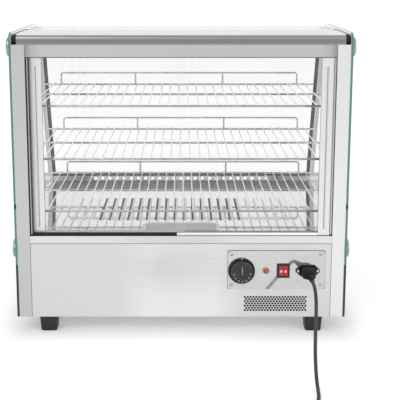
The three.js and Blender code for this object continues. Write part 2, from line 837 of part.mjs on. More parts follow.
const halfWireCount = Math.floor((railReach - wireEndMargin) / wirePitch);
function shelfGeometry() {
  const rails = [nearRailDepth, middleRailDepth, farRailDepth].map(
    (y) => rodAcross(-railReach, railReach, y, 0, railRadius, railSides));
  const wires = [];
  for (let i = -halfWireCount; i <= halfWireCount; i += 1) {
    wires.push(rodBack(i * wirePitch, nearRailDepth - wireOverhang, farRailDepth + wireOverhang,
      railRadius + wireRadius - weldSink, wireRadius, wireSides));
  }
  return join(...rails, ...wires);
}

// The gallery is one rod bent down at both ends, with two more uprights welded under it
function galleryGeometry() {
  const besideWire = wireRadius + galleryRadius + galleryWireGap;
  const half = Math.floor((railReach - galleryEndMargin) / wirePitch) * wirePitch + besideWire;
  const upright = galleryUprightWireCount * wirePitch + besideWire;
  const top = galleryHeight - galleryRadius;
  const corner = (side) => arcPoints(side * (half - galleryBend), top - galleryBend, galleryBend,
    side < 0 ? Math.PI : Math.PI / 2, side < 0 ? Math.PI / 2 : 0, galleryBendSteps);
  const path = [[-half, 0], ...corner(-1), ...corner(1), [half, 0]];
  const bar = tubeAlong(path.map(([x, z]) => new THREE.Vector3(x, 0, z)), galleryRadius, gallerySides,
    new THREE.Vector3(0, 1, 0));
  return join(bar, ...[-upright, upright].map((x) => new THREE.CylinderGeometry(
    galleryRadius, galleryRadius, top, gallerySides).rotateX(Math.PI / 2).translate(x, 0, top / 2)));
}

const shelf = shelfGeometry();
const gallery = galleryGeometry();
const galleryLift = railRadius + seatGap;
for (const [word, level] of Object.entries(shelfLevels)) {
  const shift = shelfShifts[word];
  add(`shelf_${word}`, shelf.clone(), material.chrome).position.set(shift, 0, level);
  add(`gallery_${word}`, gallery.clone(), material.chrome)
    .position.set(shift, farRailDepth, level + galleryLift);
}

function armGeometry(level) {
  const back = postDepth + seatGap;
  const tip = middleRailDepth + armTipReach;
  const inside = postDepth - steelSheet - hookClearance;
  const hookTip = postDepth - hookReach;
  const [upperHook, lowerHook] = hookHeights(level);
  const seat = railRadius + seatGap;
  const notch = (y) => arcPoints(y, level, seat, Math.PI, 2 * Math.PI, notchSteps);
  const hook = (z) => [
    [back, z], [inside, z], [inside, z - hookDrop], [hookTip, z - hookDrop],
    [hookTip, z + hookHeight], [back, z + hookHeight],
  ];
  return acrossWidth(polygon([
    [back, level - armRootHeight], ...hook(lowerHook), ...hook(upperHook), [back, level],
    ...notch(nearRailDepth), ...notch(middleRailDepth),
    [tip, level], [tip, level - armTipHeight],
  ]), armX - armThickness / 2, armX + armThickness / 2);
}

for (const [word, level] of Object.entries(shelfLevels)) {
  add(`arm_left_${word}`, mirrored(armGeometry(level), -1), material.steel);
  add(`arm_right_${word}`, armGeometry(level), material.steel);
}

// Lamp bar.

const lampBarFront = channelBack + seatGap;
const lampBarHalf = halfOpening - lampBarEndGap;
add('lamp_bar', acrossWidth(polygon([
  [lampBarFront, headerTop - lampBarHeight], [lampBarFront + lampBarWall, headerTop - lampBarHeight],
  [lampBarFront + lampBarWall, headerTop - 2 * lampBarWall],
  [lampBarFront + lampBarDepth - lampBarWall, headerTop - 2 * lampBarWall],
  [lampBarFront + lampBarDepth - lampBarWall, headerTop - lampBarHeight / 2],
  [lampBarFront + lampBarDepth, headerTop - lampBarHeight / 2],
  [lampBarFront + lampBarDepth, headerTop], [lampBarFront, headerTop],
]), -lampBarHalf, lampBarHalf), material.aluminium);

// Sliding doors.

const doorBottom = lowerWebTop + seatGap;
const doorTop = upperWebBottom - doorTopClearance;
const fingerGrooveBottom = doorBottom + fingerGrooveFoot;
const fingerGrooveTop = doorTop - fingerGrooveHead;
function doorPieces(laneDepth) {
  const outer = jambInner - seatGap;
  const lead = -doorOverlap / 2;
  const stileInner = outer - stileWidth;
  const front = laneDepth - doorThickness / 2;
  const back = laneDepth + doorThickness / 2;
  const slotFront = laneDepth - doorGlassSlot / 2;
  const slotBack = laneDepth + doorGlassSlot / 2;
  const railTop = doorBottom + doorRailHeight;
  const grooveX = outer - fingerGrooveInset;
  const groove = polygon([
    ...arcPoints(grooveX, fingerGrooveTop, fingerGrooveWidth / 2, 0, Math.PI, grooveSteps),
    ...arcPoints(grooveX, fingerGrooveBottom, fingerGrooveWidth / 2, Math.PI, 2 * Math.PI, grooveSteps),
  ]);
  const stile = cut(
    upward(polygon([
      [stileInner, front], [outer, front], [outer, back], [stileInner, back],
      [stileInner, slotBack], [stileInner + doorGlassEngage, slotBack],
      [stileInner + doorGlassEngage, slotFront], [stileInner, slotFront],
    ]), doorBottom, doorTop),
    acrossDepth(groove, front - cutOverrun, front + fingerGrooveDepth));
  const rail = acrossWidth(polygon([
    [front, doorBottom], [back, doorBottom], [back, railTop], [slotBack, railTop],
    [slotBack, railTop - doorGlassEngage], [slotFront, railTop - doorGlassEngage],
    [slotFront, railTop], [front, railTop],
  ]), lead, stileInner - seatGap);
  const glass = block(lead, stileInner + doorGlassEngage - seatGap,
    laneDepth - doorGlassThickness / 2, laneDepth + doorGlassThickness / 2,
    railTop - doorGlassEngage + seatGap, doorTop);
  // The stile's slot ends at the rail, so the rail's end meets a solid foot
  return { stile, rail, glass };
}

for (const [word, side, lane] of [['left', -1, rearLane], ['right', 1, frontLane]]) {
  const door = doorPieces(lane);
  add(`door_${word}_stile`, mirrored(door.stile, side), material.aluminium);
  add(`door_${word}_rail`, mirrored(door.rail, side), material.aluminium);
  add(`door_${word}_glass`, mirrored(door.glass, side), material.glass);
}

// Control plate and its fittings.

const plateBack = -seatGap;
const plateFront = plateBack - plateThickness;
const fitFace = plateFront - seatGap;
const plateOutline = roundedRectangle(plateLeft, plateRight, plateBottom, plateTop, plateCorner);
plateOutline.holes.push(...fittingHoles());
add('control_plate', acrossDepth(plateOutline, plateFront, plateBack, 5), material.polishedSteel);

const dialRadius = dialDiameter / 2;
const dialBack = steelSheet + seatGap;
add('thermostat', turnedBack([
  [dialBoreDiameter / 2, fitFace - dialWeb], [dialRadius - dialRimWidth, fitFace - dialWeb],
  [dialRadius - dialRimWidth, fitFace - dialRimHeight], [dialRadius - dialRimWidth / 2, fitFace - dialRimHeight],
  [dialRadius, fitFace - dialRimHeight + dialRimWidth / 2], [dialRadius, fitFace],
  [dialNeckDiameter / 2, fitFace], [dialNeckDiameter / 2, dialBack],
  [thermostatBodyDiameter / 2, dialBack], [thermostatBodyDiameter / 2, dialBack + thermostatBodyLength],
  [dialBoreDiameter / 2, dialBack + thermostatBodyLength],
  [dialBoreDiameter / 2, fitFace - dialWeb],
], knobSides, thermostatX, controlLevel), material.blackPlastic);

const knobFace = -knobReach + knobRibHeight;
const knobBack = fitFace - dialWeb - seatGap;
const knobRadius = knobDiameter / 2;
const knobFaceRadius = knobFaceDiameter / 2;
const knobTurned = turnedBack([
  [0, knobFace], [knobFaceRadius - knobEdge, knobFace],
  ...arcPoints(knobFaceRadius - knobEdge, knobFace + knobEdge, knobEdge, -Math.PI / 2, 0, knobEdgeSteps).slice(1),
  [knobRadius, knobBack], [knobShaftDiameter / 2, knobBack],
  [knobShaftDiameter / 2, knobBack + knobShaftLength], [0, knobBack + knobShaftLength],
], knobSides, thermostatX, controlLevel);
add('thermostat_knob', join(knobTurned, block(
  thermostatX - knobRibWidth / 2, thermostatX + knobRibWidth / 2, -knobReach, knobFace + knobEdge,
  controlLevel, controlLevel + knobFaceRadius - knobRibInset)), material.knobPlastic);

const lampRadius = lampDiameter / 2;
add('pilot_lamp', turnedBack([
  [0, fitFace - lampFlange - lampDome],
  ...arcPoints(0, 0, 1, -Math.PI / 2, 0, lampDomeSteps).slice(1).map(([u, v]) => [
    u * (lampRadius - lampFlange / 2), fitFace - lampFlange + v * lampDome]),
  [lampRadius, fitFace - lampFlange], [lampRadius, fitFace],
  [lampBodyDiameter / 2, fitFace], [lampBodyDiameter / 2, fitFace + lampBodyLength],
  [0, fitFace + lampBodyLength],
], lampSides, lampX, controlLevel), material.lampOrange);

const switchFront = fitFace - switchBezel;
add('switch_frame', cut(
  join(
    acrossDepth(roundedRectangle(
      switchX - switchWidth / 2, switchX + switchWidth / 2,
      controlLevel - switchHeight / 2, controlLevel + switchHeight / 2, switchBezel / 2), switchFront, fitFace, 2),
    block(switchX - switchBodyWidth / 2, switchX + switchBodyWidth / 2, fitFace - switchBezel / 2,
      fitFace + switchBodyDepth, controlLevel - switchBodyHeight / 2, controlLevel + switchBodyHeight / 2)),
  block(switchX - switchWindowWidth / 2, switchX + switchWindowWidth / 2, switchFront - cutOverrun,
    switchFront + switchWindowDepth, controlLevel - switchWindowHeight / 2, controlLevel + switchWindowHeight / 2),
), material.blackPlastic);

// A rocker is a dished key on a rounded back, tipped on its pivot with the upper half pressed in
const rockerPivotY = switchFront + rockerPivotDepth;
function rockerGeometry() {
  const half = rockerHeight / 2;
  const face = -rockerPivotDepth - rockerProud;
  const heel = face + rockerThickness;
  return acrossWidth(polygon([
    [face, -half], [face + rockerDish, 0], [face, half], [face + rockerThickness / 2, half],
    [heel, half / 2], [heel, -half / 2], [face + rockerThickness / 2, -half],
  ].reverse()), -rockerWidth / 2, rockerWidth / 2);
}
const rockerSpread = (switchWindowWidth - 2 * rockerWidth) / 3 + rockerWidth;
for (const [word, side] of [['left', -1], ['right', 1]]) {
  const rocker = add(`rocker_${word}`, rockerGeometry(), material.rockerRed);
  rocker.position.set(switchX + side * rockerSpread / 2, rockerPivotY, controlLevel);
  rocker.rotation.x = -rockerTiltAngle * degree;
}

function inletFlangeShape() {
  const ear = inletWidth / 2 - inletEarRadius;
  const shoulder = inletBodyWidth / 2;
  const lean = Math.atan2(inletHeight / 2 - inletEarRadius, ear - shoulder);
  const shape = polygon([
    [shoulder, -inletHeight / 2],
    ...arcPoints(ear, 0, inletEarRadius, -Math.PI / 2 + lean / 2, Math.PI / 2 - lean / 2, 6),
    [shoulder, inletHeight / 2], [-shoulder, inletHeight / 2],
    ...arcPoints(-ear, 0, inletEarRadius, Math.PI / 2 + lean / 2, 1.5 * Math.PI - lean / 2, 6),
    [-shoulder, -inletHeight / 2],
  ]);
  for (const side of [-1, 1]) {
    const hole = new THREE.Path();
    hole.absarc(side * inletHolePitch / 2, 0, inletHoleDiameter / 2, 0, 2 * Math.PI, true);
    shape.holes.push(hole);
  }
  return shape;
}

// The socket's mouth has its two upper corners cut off
function socketShape(clearance) {
  const halfW = socketWidth / 2 - clearance;
  const halfH = socketHeight / 2 - clearance;
  return polygon([
    [-halfW, -halfH], [halfW, -halfH], [halfW, halfH - socketChamfer], [halfW - socketChamfer, halfH],
    [-halfW + socketChamfer, halfH], [-halfW, halfH - socketChamfer],
  ]);
}

const inletFront = fitFace - inletFlange;
const socketFloor = inletFront + socketDepth;
const pinPlaces = [[0, pinRise], [-pinSpread, -pinRise], [pinSpread, -pinRise]];
function pins(extra, y0, y1) {
  return pinPlaces.map(([x, z]) => block(
    x - pinWidth / 2 - extra, x + pinWidth / 2 + extra, y0, y1,
    z - pinHeight / 2 - extra, z + pinHeight / 2 + extra));
}
const inletBlock = cut(
  join(
    acrossDepth(inletFlangeShape(), inletFront, fitFace, 4),
    block(-inletBodyWidth / 2, inletBodyWidth / 2, inletFront, fitFace + inletBodyDepth,
      -inletBodyHeight / 2, inletBodyHeight / 2)),
  acrossDepth(socketShape(0), inletFront - cutOverrun, socketFloor));
const inlet = join(inletBlock, ...pins(0, socketFloor - pinLength, socketFloor + pinWidth));
add('power_inlet', inlet, material.blackPlastic).position.set(inletX, 0, controlLevel);

// Connector, cord, coil and plug.

const connectorBack = inletFront - seatGap;
const connectorFront = connectorBack - connectorLength;
const reliefTip = connectorFront - reliefLength;
function ribbedTaper(y0, y1, root, tip, ribs) {
  const points = [[0, y0]];
  for (let i = 0; i <= 2 * ribs; i += 1) {
    const share = i / (2 * ribs);
    const radius = (root + (tip - root) * share) / 2 - (i % 2) * reliefRibDepth;
    points.push([radius, y0 + (y1 - y0) * share]);
  }
  points.push([0, y1]);
  return points;
}
function connectorSection(width, height, corner, y) {
  return ringFromShape(roundedRectangle(-width / 2, width / 2, -height / 2, height / 2, corner), 0, 2)
    .map(([x, z]) => [x, y, z]);
}
const connectorWaist = connectorFront + connectorLength / 3;
const connectorBody = loft([
  connectorSection(connectorWidth, connectorHeight, connectorCorner, connectorBack),
  connectorSection(connectorWidth, connectorHeight, connectorCorner, connectorWaist),
  connectorSection(reliefRootDiameter + connectorCorner, reliefRootDiameter + connectorCorner / 2,
    connectorCorner, connectorFront),
]);
const connectorNose = acrossDepth(socketShape(noseClearance), connectorBack - connectorCorner,
  connectorBack + noseLength);
const relief = turnedBack(
  ribbedTaper(connectorFront + connectorCorner, reliefTip, reliefRootDiameter, reliefTipDiameter, reliefRibCount),
  reliefSides, 0, 0);
add('cord_connector', cut(
  join(connectorBody, connectorNose, relief),
  ...pins(noseClearance, socketFloor - pinLength - noseClearance, socketFloor + cutOverrun)),
material.cordRubber).position.set(inletX, 0, controlLevel);

const coilX = inletX - coilOffset;
const cordRadius = cordDiameter / 2;
const cordLevel = cordRadius + floorClearance;
const coilTop = -coilFront + coilOuterRadius;
const coilEntry = coilX + cordDiameter + seatGap;

// The cord's way from the connector to the coil, chosen by eye from the picture:
// each point is its place beside the inlet, in front of the case and above the floor
const cordPoints = [
  [0, reliefTip - seatGap, controlLevel],
  [0, reliefTip - seatGap - cordDiameter, controlLevel],
  [0.4, -86, 134.4],
  [0.4, -102, 128.5],
  [-0.6, -118, 118.5],
  [-2.6, -134, 105.5],
  [-5.2, -150, 91],
  [-8, -166, 76],
  [-10.6, -182, 61],
  [-12.8, -198, 46.5],
  [-14.4, -214, 33],
  [-15.6, -230, 21.5],
  [-16.4, -246, 12.8],
  [-17, -262, 7.2],
  [-18, -277, 4.4],
  [-21, -292, cordLevel],
  [-28, -306, cordLevel],
  [-39, -318, cordLevel],
  [-54, -326.5, cordLevel],
  [-73, -330.5, cordLevel],
  [-102, -331, cordLevel],
  [-139, -331, cordLevel],
  [-179, -331, cordLevel],
  [-219, -331, cordLevel],
  [-259, -331, cordLevel],
  [coilEntry + 2 * cordDiameter - inletX, coilTop, cordLevel],
  [coilEntry - inletX, coilTop, cordLevel],
].map(([aside, y, z]) => new THREE.Vector3(inletX + aside, y, z));

function cordSection(radius, sides) {
  return polygon(arcPoints(0, 0, radius, 0, 2 * Math.PI, sides).slice(0, -1));
}
const cordCurve = new THREE.CatmullRomCurve3(cordPoints, false, 'centripetal');
const cordGeometry = new THREE.ExtrudeGeometry(cordSection(cordRadius, cordSides), {
  steps: cordSteps, bevelEnabled: false, extrudePath: cordCurve,
});
add('cord_run', geometryFrom(solidFrom(cordGeometry)), material.cordRubber);

// The coil spirals in on the floor, climbs a layer where it turns back and spirals out again
const coilPoints = [new THREE.Vector3(coilX + cordDiameter, coilTop, cordLevel)];
const coilTotal = coilTurnCount * coilSteps;
const climbSteps = coilSteps / 2;
for (let i = 0; i <= coilTotal; i += 1) {
  const inward = Math.min(i, coilTotal - i);
  const radius = coilOuterRadius - coilTurnPitch * inward / coilSteps;
  const climb = THREE.MathUtils.clamp((i - (coilTotal - climbSteps) / 2) / climbSteps, 0, 1);
  const angle = Math.PI / 2 + 2 * Math.PI * i / coilSteps;
  coilPoints.push(new THREE.Vector3(
    coilX + radius * Math.cos(angle), -coilFront + radius * Math.sin(angle), cordLevel + coilLayerRise * climb));
}
const plugRadius = plugBodyDiameter / 2;
const plugLevel = plugRadius + floorClearance;
const leadStart = coilPoints[coilPoints.length - 1];
const leadSteps = 6;
for (let i = 1; i <= leadSteps; i += 1) {
  const share = i / leadSteps;
  const rise = share * share * (3 - 2 * share);
  coilPoints.push(new THREE.Vector3(leadStart.x + leadOutLength * share, leadStart.y,
    leadStart.z + (plugLevel - leadStart.z) * rise));
}
const plugStart = leadStart.x + leadOutLength + cordDiameter;
coilPoints.push(new THREE.Vector3(plugStart, leadStart.y, plugLevel));

// Least gap between stretches of the coil that are more than half a turn apart along it
let coilGap = Infinity;
for (let i = 0; i < coilPoints.length; i += 1) {
  for (let j = i + climbSteps; j < coilPoints.length; j += 1) {
    coilGap = Math.min(coilGap, coilPoints[i].distanceTo(coilPoints[j]) - cordDiameter);
  }
}
console.log(`least gap between the coil's turns ${coilGap.toFixed(2)} mm`);
add('cord_coil', geometryFrom(solidFrom(tubeAlong(
  coilPoints, cordRadius, coilSides, new THREE.Vector3(0, 0, 1)))), material.cordRubber);

const plugTail = 0;
const plugReliefEnd = plugTail - reliefLength;
const plugGripEnd = plugReliefEnd - plugGripLength;
const plugBodyEnd = plugGripEnd - plugBodyLength;
const plugSolid = join(
  turnedBack(ribbedTaper(plugReliefEnd - plugEdge, plugTail, reliefRootDiameter, reliefTipDiameter, reliefRibCount),
    reliefSides, 0, 0),
  turnedBack([
    [0, plugReliefEnd], [reliefRootDiameter / 2 + plugEdge, plugReliefEnd],
    [plugGripDiameter / 2, plugReliefEnd - plugShoulder], [plugGripDiameter / 2 - plugEdge, plugGripEnd + plugEdge],
    [plugRadius - plugEdge, plugGripEnd - plugEdge], [plugRadius, plugGripEnd - plugShoulder],
    [plugRadius, plugBodyEnd + plugEdge], [plugRadius - plugEdge, plugBodyEnd], [0, plugBodyEnd],
  ].reverse(), plugSides, 0, 0),
  ...[-1, 1].map((side) => rodBack(side * plugPinPitch / 2, plugBodyEnd - plugPinLength,
    plugBodyEnd + plugEdge, 0, plugPinDiameter / 2, 8)));
const mainsPlug = add('mains_plug', plugSolid, material.blackPlastic);
mainsPlug.position.set(plugStart + seatGap, leadStart.y, plugLevel);
mainsPlug.rotation.z = Math.PI / 2;

const displayCase = new THREE.Group();
displayCase.add(model);
export default displayCase;
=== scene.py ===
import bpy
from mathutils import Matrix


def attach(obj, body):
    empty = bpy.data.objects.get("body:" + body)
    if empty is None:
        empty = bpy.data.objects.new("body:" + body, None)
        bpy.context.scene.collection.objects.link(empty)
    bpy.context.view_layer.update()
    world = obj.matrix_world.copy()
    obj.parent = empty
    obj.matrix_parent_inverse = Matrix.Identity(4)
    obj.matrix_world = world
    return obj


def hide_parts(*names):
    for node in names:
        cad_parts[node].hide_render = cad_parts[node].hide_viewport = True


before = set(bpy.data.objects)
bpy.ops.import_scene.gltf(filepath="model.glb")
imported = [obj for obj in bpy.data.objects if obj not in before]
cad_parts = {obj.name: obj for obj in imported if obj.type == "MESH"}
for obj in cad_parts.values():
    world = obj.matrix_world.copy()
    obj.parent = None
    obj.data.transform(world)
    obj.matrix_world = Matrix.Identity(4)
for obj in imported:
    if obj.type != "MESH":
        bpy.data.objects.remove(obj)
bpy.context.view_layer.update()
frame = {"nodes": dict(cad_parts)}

import fnmatch
import functools
import math

import bmesh
import bpy
import numpy as np

nodes = frame["nodes"]
print("frame loaded with", len(nodes), "nodes")

millimetre = 0.001
midDepth = 245  # depth behind the case's front plane that lies at the row frame's y = 0
pole = 0.02  # radius of the tiny flat face that closes a turned shape on its line, in millimetres
smoothBelow = 35  # faces that meet at a smaller angle than this, in degrees, are shaded as one


def inRow(points):
    # width, depth behind the front plane and height in millimetres become metres in the row frame
    return (np.asarray(points, float) - (0, midDepth, 0)) * millimetre


def addObject(name, data):
    made = bpy.data.objects.new(name, data)
    bpy.context.scene.collection.objects.link(made)
    return made


# Camera at the photograph's angle: straight in front of the service side, a little above the case

view = {
    "distance": 1.670,  # metres in front of the front plane
    "height": 0.753,
    "pitch": 9.59,  # degrees below level
    "focalPixels": 838.9,  # for an image 400 pixels wide
    "shiftX": 0.0474,
    "shiftY": -0.22,
}


def makeCamera():
    data = bpy.data.cameras.new("camera")
    data.sensor_width = 36
    data.lens = data.sensor_width * view["focalPixels"] / 400
    data.shift_x = view["shiftX"]
    data.shift_y = view["shiftY"]
    data.dof.use_dof = False
    data.clip_start = 0.05
    data.clip_end = 60
    camera = addObject("camera", data)
    camera.location = (0, -view["distance"] - midDepth * millimetre, view["height"])
    camera.rotation_euler = (math.radians(90 - view["pitch"]), 0, 0)
    bpy.context.scene.camera = camera


makeCamera()
print("camera placed")


# Surfaces on grids, as points in millimetres and faces

def gridFaces(rows, columns, closeRows=False, closeColumns=False):
    # faces between neighbouring points of a grid, and across its ends where it closes
    i, j = np.meshgrid(np.arange(rows - (not closeRows)), np.arange(columns - (not closeColumns)),
                       indexing="ij")
    i2 = (i + 1) % rows
    j2 = (j + 1) % columns
    corners = [i * columns + j, i * columns + j2, i2 * columns + j2, i2 * columns + j]
    return np.stack(corners, -1).reshape(-1, 4).tolist()


def closedShell(rings):
    # a stack of closed rings, each joined to the next, with a flat face on the first and the last
    rows, columns = rings.shape[:2]
    first = list(range(columns))
    last = [(rows - 1) * columns + k for k in first]
    return rings.reshape(-1, 3), gridFaces(rows, columns, closeColumns=True) + [first[::-1], last]


def loopShell(loops):
    # closed loops, each joined to the next and the last to the first, as round a hole
    return np.vstack(loops), gridFaces(len(loops), len(loops[0]), closeRows=True, closeColumns=True)


def together(shells):
    # several shells as one set of points and faces
    points, faces, start = [], [], 0
    for p, f in shells:
        points.append(p)
        faces += [[start + k for k in face] for face in f]
        start += len(p)
    return np.vstack(points), faces


def unit(v):
    return v / np.linalg.norm(v, axis=-1, keepdims=True)


def fullTurn(sides):
    return 2 * np.pi * np.arange(sides) / sides


def circle(angle):
    return np.stack([np.cos(angle), np.sin(angle)], -1)


def evenly(count, pitch):
    # places the pitch apart, on both sides of the middle
    return pitch * np.linspace((1 - count) / 2, (count - 1) / 2, count)


def between(start, end, share):
    return start + (end - start) * share


def shareOf(place, start, end):
    # 0 before the start, 1 past the end, and even between
    return np.clip((place - start) / (end - start), 0, 1)


def rippled(count, angle):
    # waves round a line that start and end at nothing
    return 0.5 - 0.5 * np.cos(count * angle)


def tube(path, radius, sides, across):
    # a circle carried along the path: across is never along it, and turns the circle's start
    path = np.asarray(path, float)
    along = unit(np.gradient(path, axis=0))
    u = unit(np.cross(np.asarray(across, float), along))[:, None]
    v = np.cross(along, u[:, 0])[:, None]
    angle = fullTurn(sides)[:, None]
    size = np.broadcast_to(np.asarray(radius, float), (len(path),))[:, None, None]
    return closedShell(path[:, None] + size * (u * np.cos(angle) + v * np.sin(angle)))


def rod(start, end, radius, sides):
    # a straight tube with half a ball at both ends, where the radius falls as a sine
    start = np.asarray(start, float)
    end = np.asarray(end, float)
    turn = np.linspace(0.12, 1, 3) * np.pi / 2
    tip = unit(end - start) * (radius * np.cos(turn) - radius)[:, None]
    path = np.vstack([start - tip, (start + end) / 2, end + tip[::-1]])
    size = radius * np.sin(turn)
    return tube(path, np.concatenate([size, [radius], size[::-1]]), sides, (0, 0, 1))


def roundLine(radius, depth, angle, centre):
    # rings round a line that points into the case, at the radius and depth of each point
    across = radius * np.cos(angle)
    rings = np.stack([across, np.broadcast_to(depth, across.shape), radius * np.sin(angle)], -1)
    return closedShell(rings + np.asarray(centre, float))


def turned(profile, sides, centre):
    # a profile of radius and depth, swept once round
    radius, depth = np.asarray(profile, float).T[..., None]
    return roundLine(radius, depth, fullTurn(sides), centre)


def prism(outline, direction, ends):
    # a flat outline pushed along the width, 0, the depth, 1, or the height, 2
    return closedShell(np.stack([np.insert(np.asarray(outline, float), direction, end, 1) for end in ends]))


def boxShell(x0, x1, z0, z1, front, back):
    return prism([(x0, z0), (x1, z0), (x1, z1), (x0, z1)], 1, (front, back))


def roundedRing(halfWidth, halfHeight, corner, perCorner=5):
    # a rectangle whose four corners are quarter circles, walked once round
    turn = np.linspace(0, np.pi / 2, perCorner)
    signs = np.array([[1, 1], [-1, 1], [-1, -1], [1, -1]])
    centres = signs * (halfWidth - corner, halfHeight - corner)
    angles = turn[None] + np.arange(4)[:, None] * np.pi / 2
    return (centres[:, None] + corner * circle(angles)).reshape(-1, 2)


def capsule(x, half, z0, z1):
    # a straight slot that ends in half circles, walked once round
    arc = half * circle(np.linspace(0, np.pi, 7))
    return np.vstack([(x, z1 - half) + arc, (x, z0 + half) - arc])


def makePiece(name, shell, finish, replaced=(), body="case"):
    # makes an object at the origin from a shell, faces outward, that rides on the body
    points, faces = shell
    mesh = bpy.data.meshes.new(name)
    mesh.from_pydata(inRow(points).tolist(), [], faces)
    mesh.validate()
    shape = bmesh.new()
    shape.from_mesh(mesh)
    bmesh.ops.recalc_face_normals(shape, faces=shape.faces)
    shape.to_mesh(mesh)
    shape.free()
    mesh.polygons.foreach_set("use_smooth", np.ones(len(mesh.polygons), bool))
    mesh.set_sharp_from_angle(angle=math.radians(smoothBelow))
    mesh.materials.append(finishes[finish])
    piece = addObject(name, mesh)
    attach(piece, body)
    if replaced:
        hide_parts(*replaced)
    return piece


# Materials

def linear(colour):
    # sRGB hex to the linear numbers that a socket takes; a plain number is a linear grey
    if not isinstance(colour, str):
        return (colour, colour, colour, 1.0)
    c = np.array([int(colour[i:i + 2], 16) for i in (1, 3, 5)]) / 255
    return (*np.where(c <= 0.04045, c / 12.92, ((c + 0.055) / 1.055) ** 2.4).tolist(), 1.0)


def addNode(tree, kind, settings=None, links=None):
    # stops fill a colour ramp, other settings fill a socket or are the node's own, and a link comes from a
    # socket or from a node's first output
    node = tree.nodes.new("ShaderNode" + kind)
    for name, value in (settings or {}).items():
        if name == "stops":
            band = node.color_ramp.elements
            while len(band) < len(value):
                band.new(1)
            for element, (position, colour) in zip(band, value):
                element.position = position
                element.color = linear(colour)
        elif isinstance(name, int) or name in node.inputs:
            node.inputs[name].default_value = value
        else:
            setattr(node, name, value)
    for name, source in (links or {}).items():
        first = source.outputs[0] if isinstance(source, bpy.types.Node) else source
        tree.links.new(first, node.inputs[name])
    return node


def clearTree(owner):
    # empties the nodes of a material or the world, and gives what adds nodes there
    owner.use_nodes = True
    owner.node_tree.nodes.clear()
    return functools.partial(addNode, owner.node_tree)


def startFinish(name):
    # an empty material, what adds its nodes, and the place on the piece in metres
    material = bpy.data.materials.new(name)
    add = clearTree(material)
    return material, add, add("TexCoord").outputs["Object"]


def endFinish(material, add, settings, links):
    add("OutputMaterial", None, {"Surface": add("BsdfPrincipled", settings, links)})
    return material


def blotches(add, place, scale, detail, *bands):
    # one noise, read through each band of colours or greys
    noise = add("TexNoise", {"Scale": scale, "Detail": detail}, {"Vector": place})
    return [add("ValToRGB", {"stops": stops}, {"Fac": noise}) for stops in bands]


def alongAxis(add, place, axis, low, high, stops, folded=True):
    # colours along one direction, from low to high in millimetres; folded counts both sides alike
    aside = add("SeparateXYZ", None, {"Vector": place}).outputs[axis]
    if folded:
        aside = add("Math", {"operation": "ABSOLUTE"}, {0: aside})
    share = add("MapRange", {"From Min": low * millimetre, "From Max": high * millimetre}, {"Value": aside})
    return add("ValToRGB", {"stops": stops}, {"Fac": share})


def shadeAlong(add, place, colour, *band):
    # darkens a colour by the colours along one direction, as painted shade
    return add("Mix", {"data_type": "RGBA", "blend_type": "MULTIPLY", 0: 1.0}, {
        6: colour, 7: alongAxis(add, place, *band)}).outputs[2]


def brushedSheet(name, tone, darker, lengthwise="width", shade=None, roughness=0.3, lineLength=160):
    # stainless steel 1.4301, belt-ground: lines along the sheet break up its gloss. real ones, 0.1 mm apart,
    # wouldn't show, so these are 1.6 mm apart and faint. shade paints shade and reflections onto it
    material, add, place = startFinish(name)
    long = 1000 / lineLength
    thin = 1000 / 1.6
    scale = {"width": (long, thin, thin), "height": (thin, thin, long)}[lengthwise]
    stretched = add("Mapping", {"Scale": scale}, {"Vector": place})
    lines = add("TexNoise", {"Scale": 1.0, "Detail": 3.0}, {"Vector": stretched})
    cloud = add("TexNoise", {"Scale": 3.0, "Detail": 0.0}, {"Vector": place})
    mixed = add("Math", {"operation": "MULTIPLY_ADD", 1: 0.3}, {0: lines, 2: cloud})
    colour = add("ValToRGB", {"stops": [(0.4, darker), (0.9, tone)]}, {"Fac": mixed})
    return endFinish(material, add, {"Metallic": 1.0}, {
        "Base Color": shadeAlong(add, place, colour, *shade) if shade else colour,
        "Roughness": add("ValToRGB", {
            "stops": [(0.3, roughness - 0.04), (0.7, roughness + 0.05)]}, {"Fac": lines}),
        "Normal": add("Bump", {"Strength": 0.03, "Distance": 0.0002}, {"Height": lines}),
    })


def anodisedAluminium(name, tone, darker, lengthwise="height", shade=None):
    # extruded aluminium, etched and clear anodised: soft, silky grey with faint lines from the die
    return brushedSheet(name, tone, darker, lengthwise, shade, 0.34, 400)


def mirrorSheet(name, tone, darker, roughness=0.05, metal=1.0, wavy=0.12, bow=None):
    # stainless steel 2R, bright annealed and film-protected: nearly a mirror, with smears from handling and a
    # slow waviness. a bowed plate is pulled askew by its screws, and mirrors the cord lower and further left:
    # its outward height in metres is -lean x - (z - middle) (tip + twist (right - x))
    material, add, place = startFinish(name)
    waves = add("TexNoise", {"Scale": 14.0, "Detail": 1.5}, {"Vector": place})
    colour, rough = blotches(add, place, 90.0, 4.0, [(0.3, darker), (0.7, tone)],
                             [(0.3, roughness), (0.75, roughness + 0.05)])
    normal = add("Bump", {"Strength": wavy, "Distance": 0.0012}, {"Height": waves})
    if bow:
        at = add("SeparateXYZ", None, {"Vector": place}).outputs
        offset = -bow["tip"] - bow["twist"] * bow["right"]
        tip = add("Math", {"operation": "MULTIPLY_ADD", 1: bow["twist"], 2: offset}, {0: at["X"]})
        above = add("Math", {"operation": "SUBTRACT", 1: bow["middle"]}, {0: at["Z"]})
        rise = add("Math", {"operation": "MULTIPLY"}, {0: tip, 1: above})
        height = add("Math", {"operation": "MULTIPLY_ADD", 1: -bow["lean"]}, {0: at["X"], 2: rise})
        normal = add("Bump", {"Strength": 1.0, "Distance": 1.0}, {"Height": height, "Normal": normal})
    return endFinish(material, add, {"Metallic": metal}, {
        "Base Color": colour, "Roughness": rough, "Normal": normal})


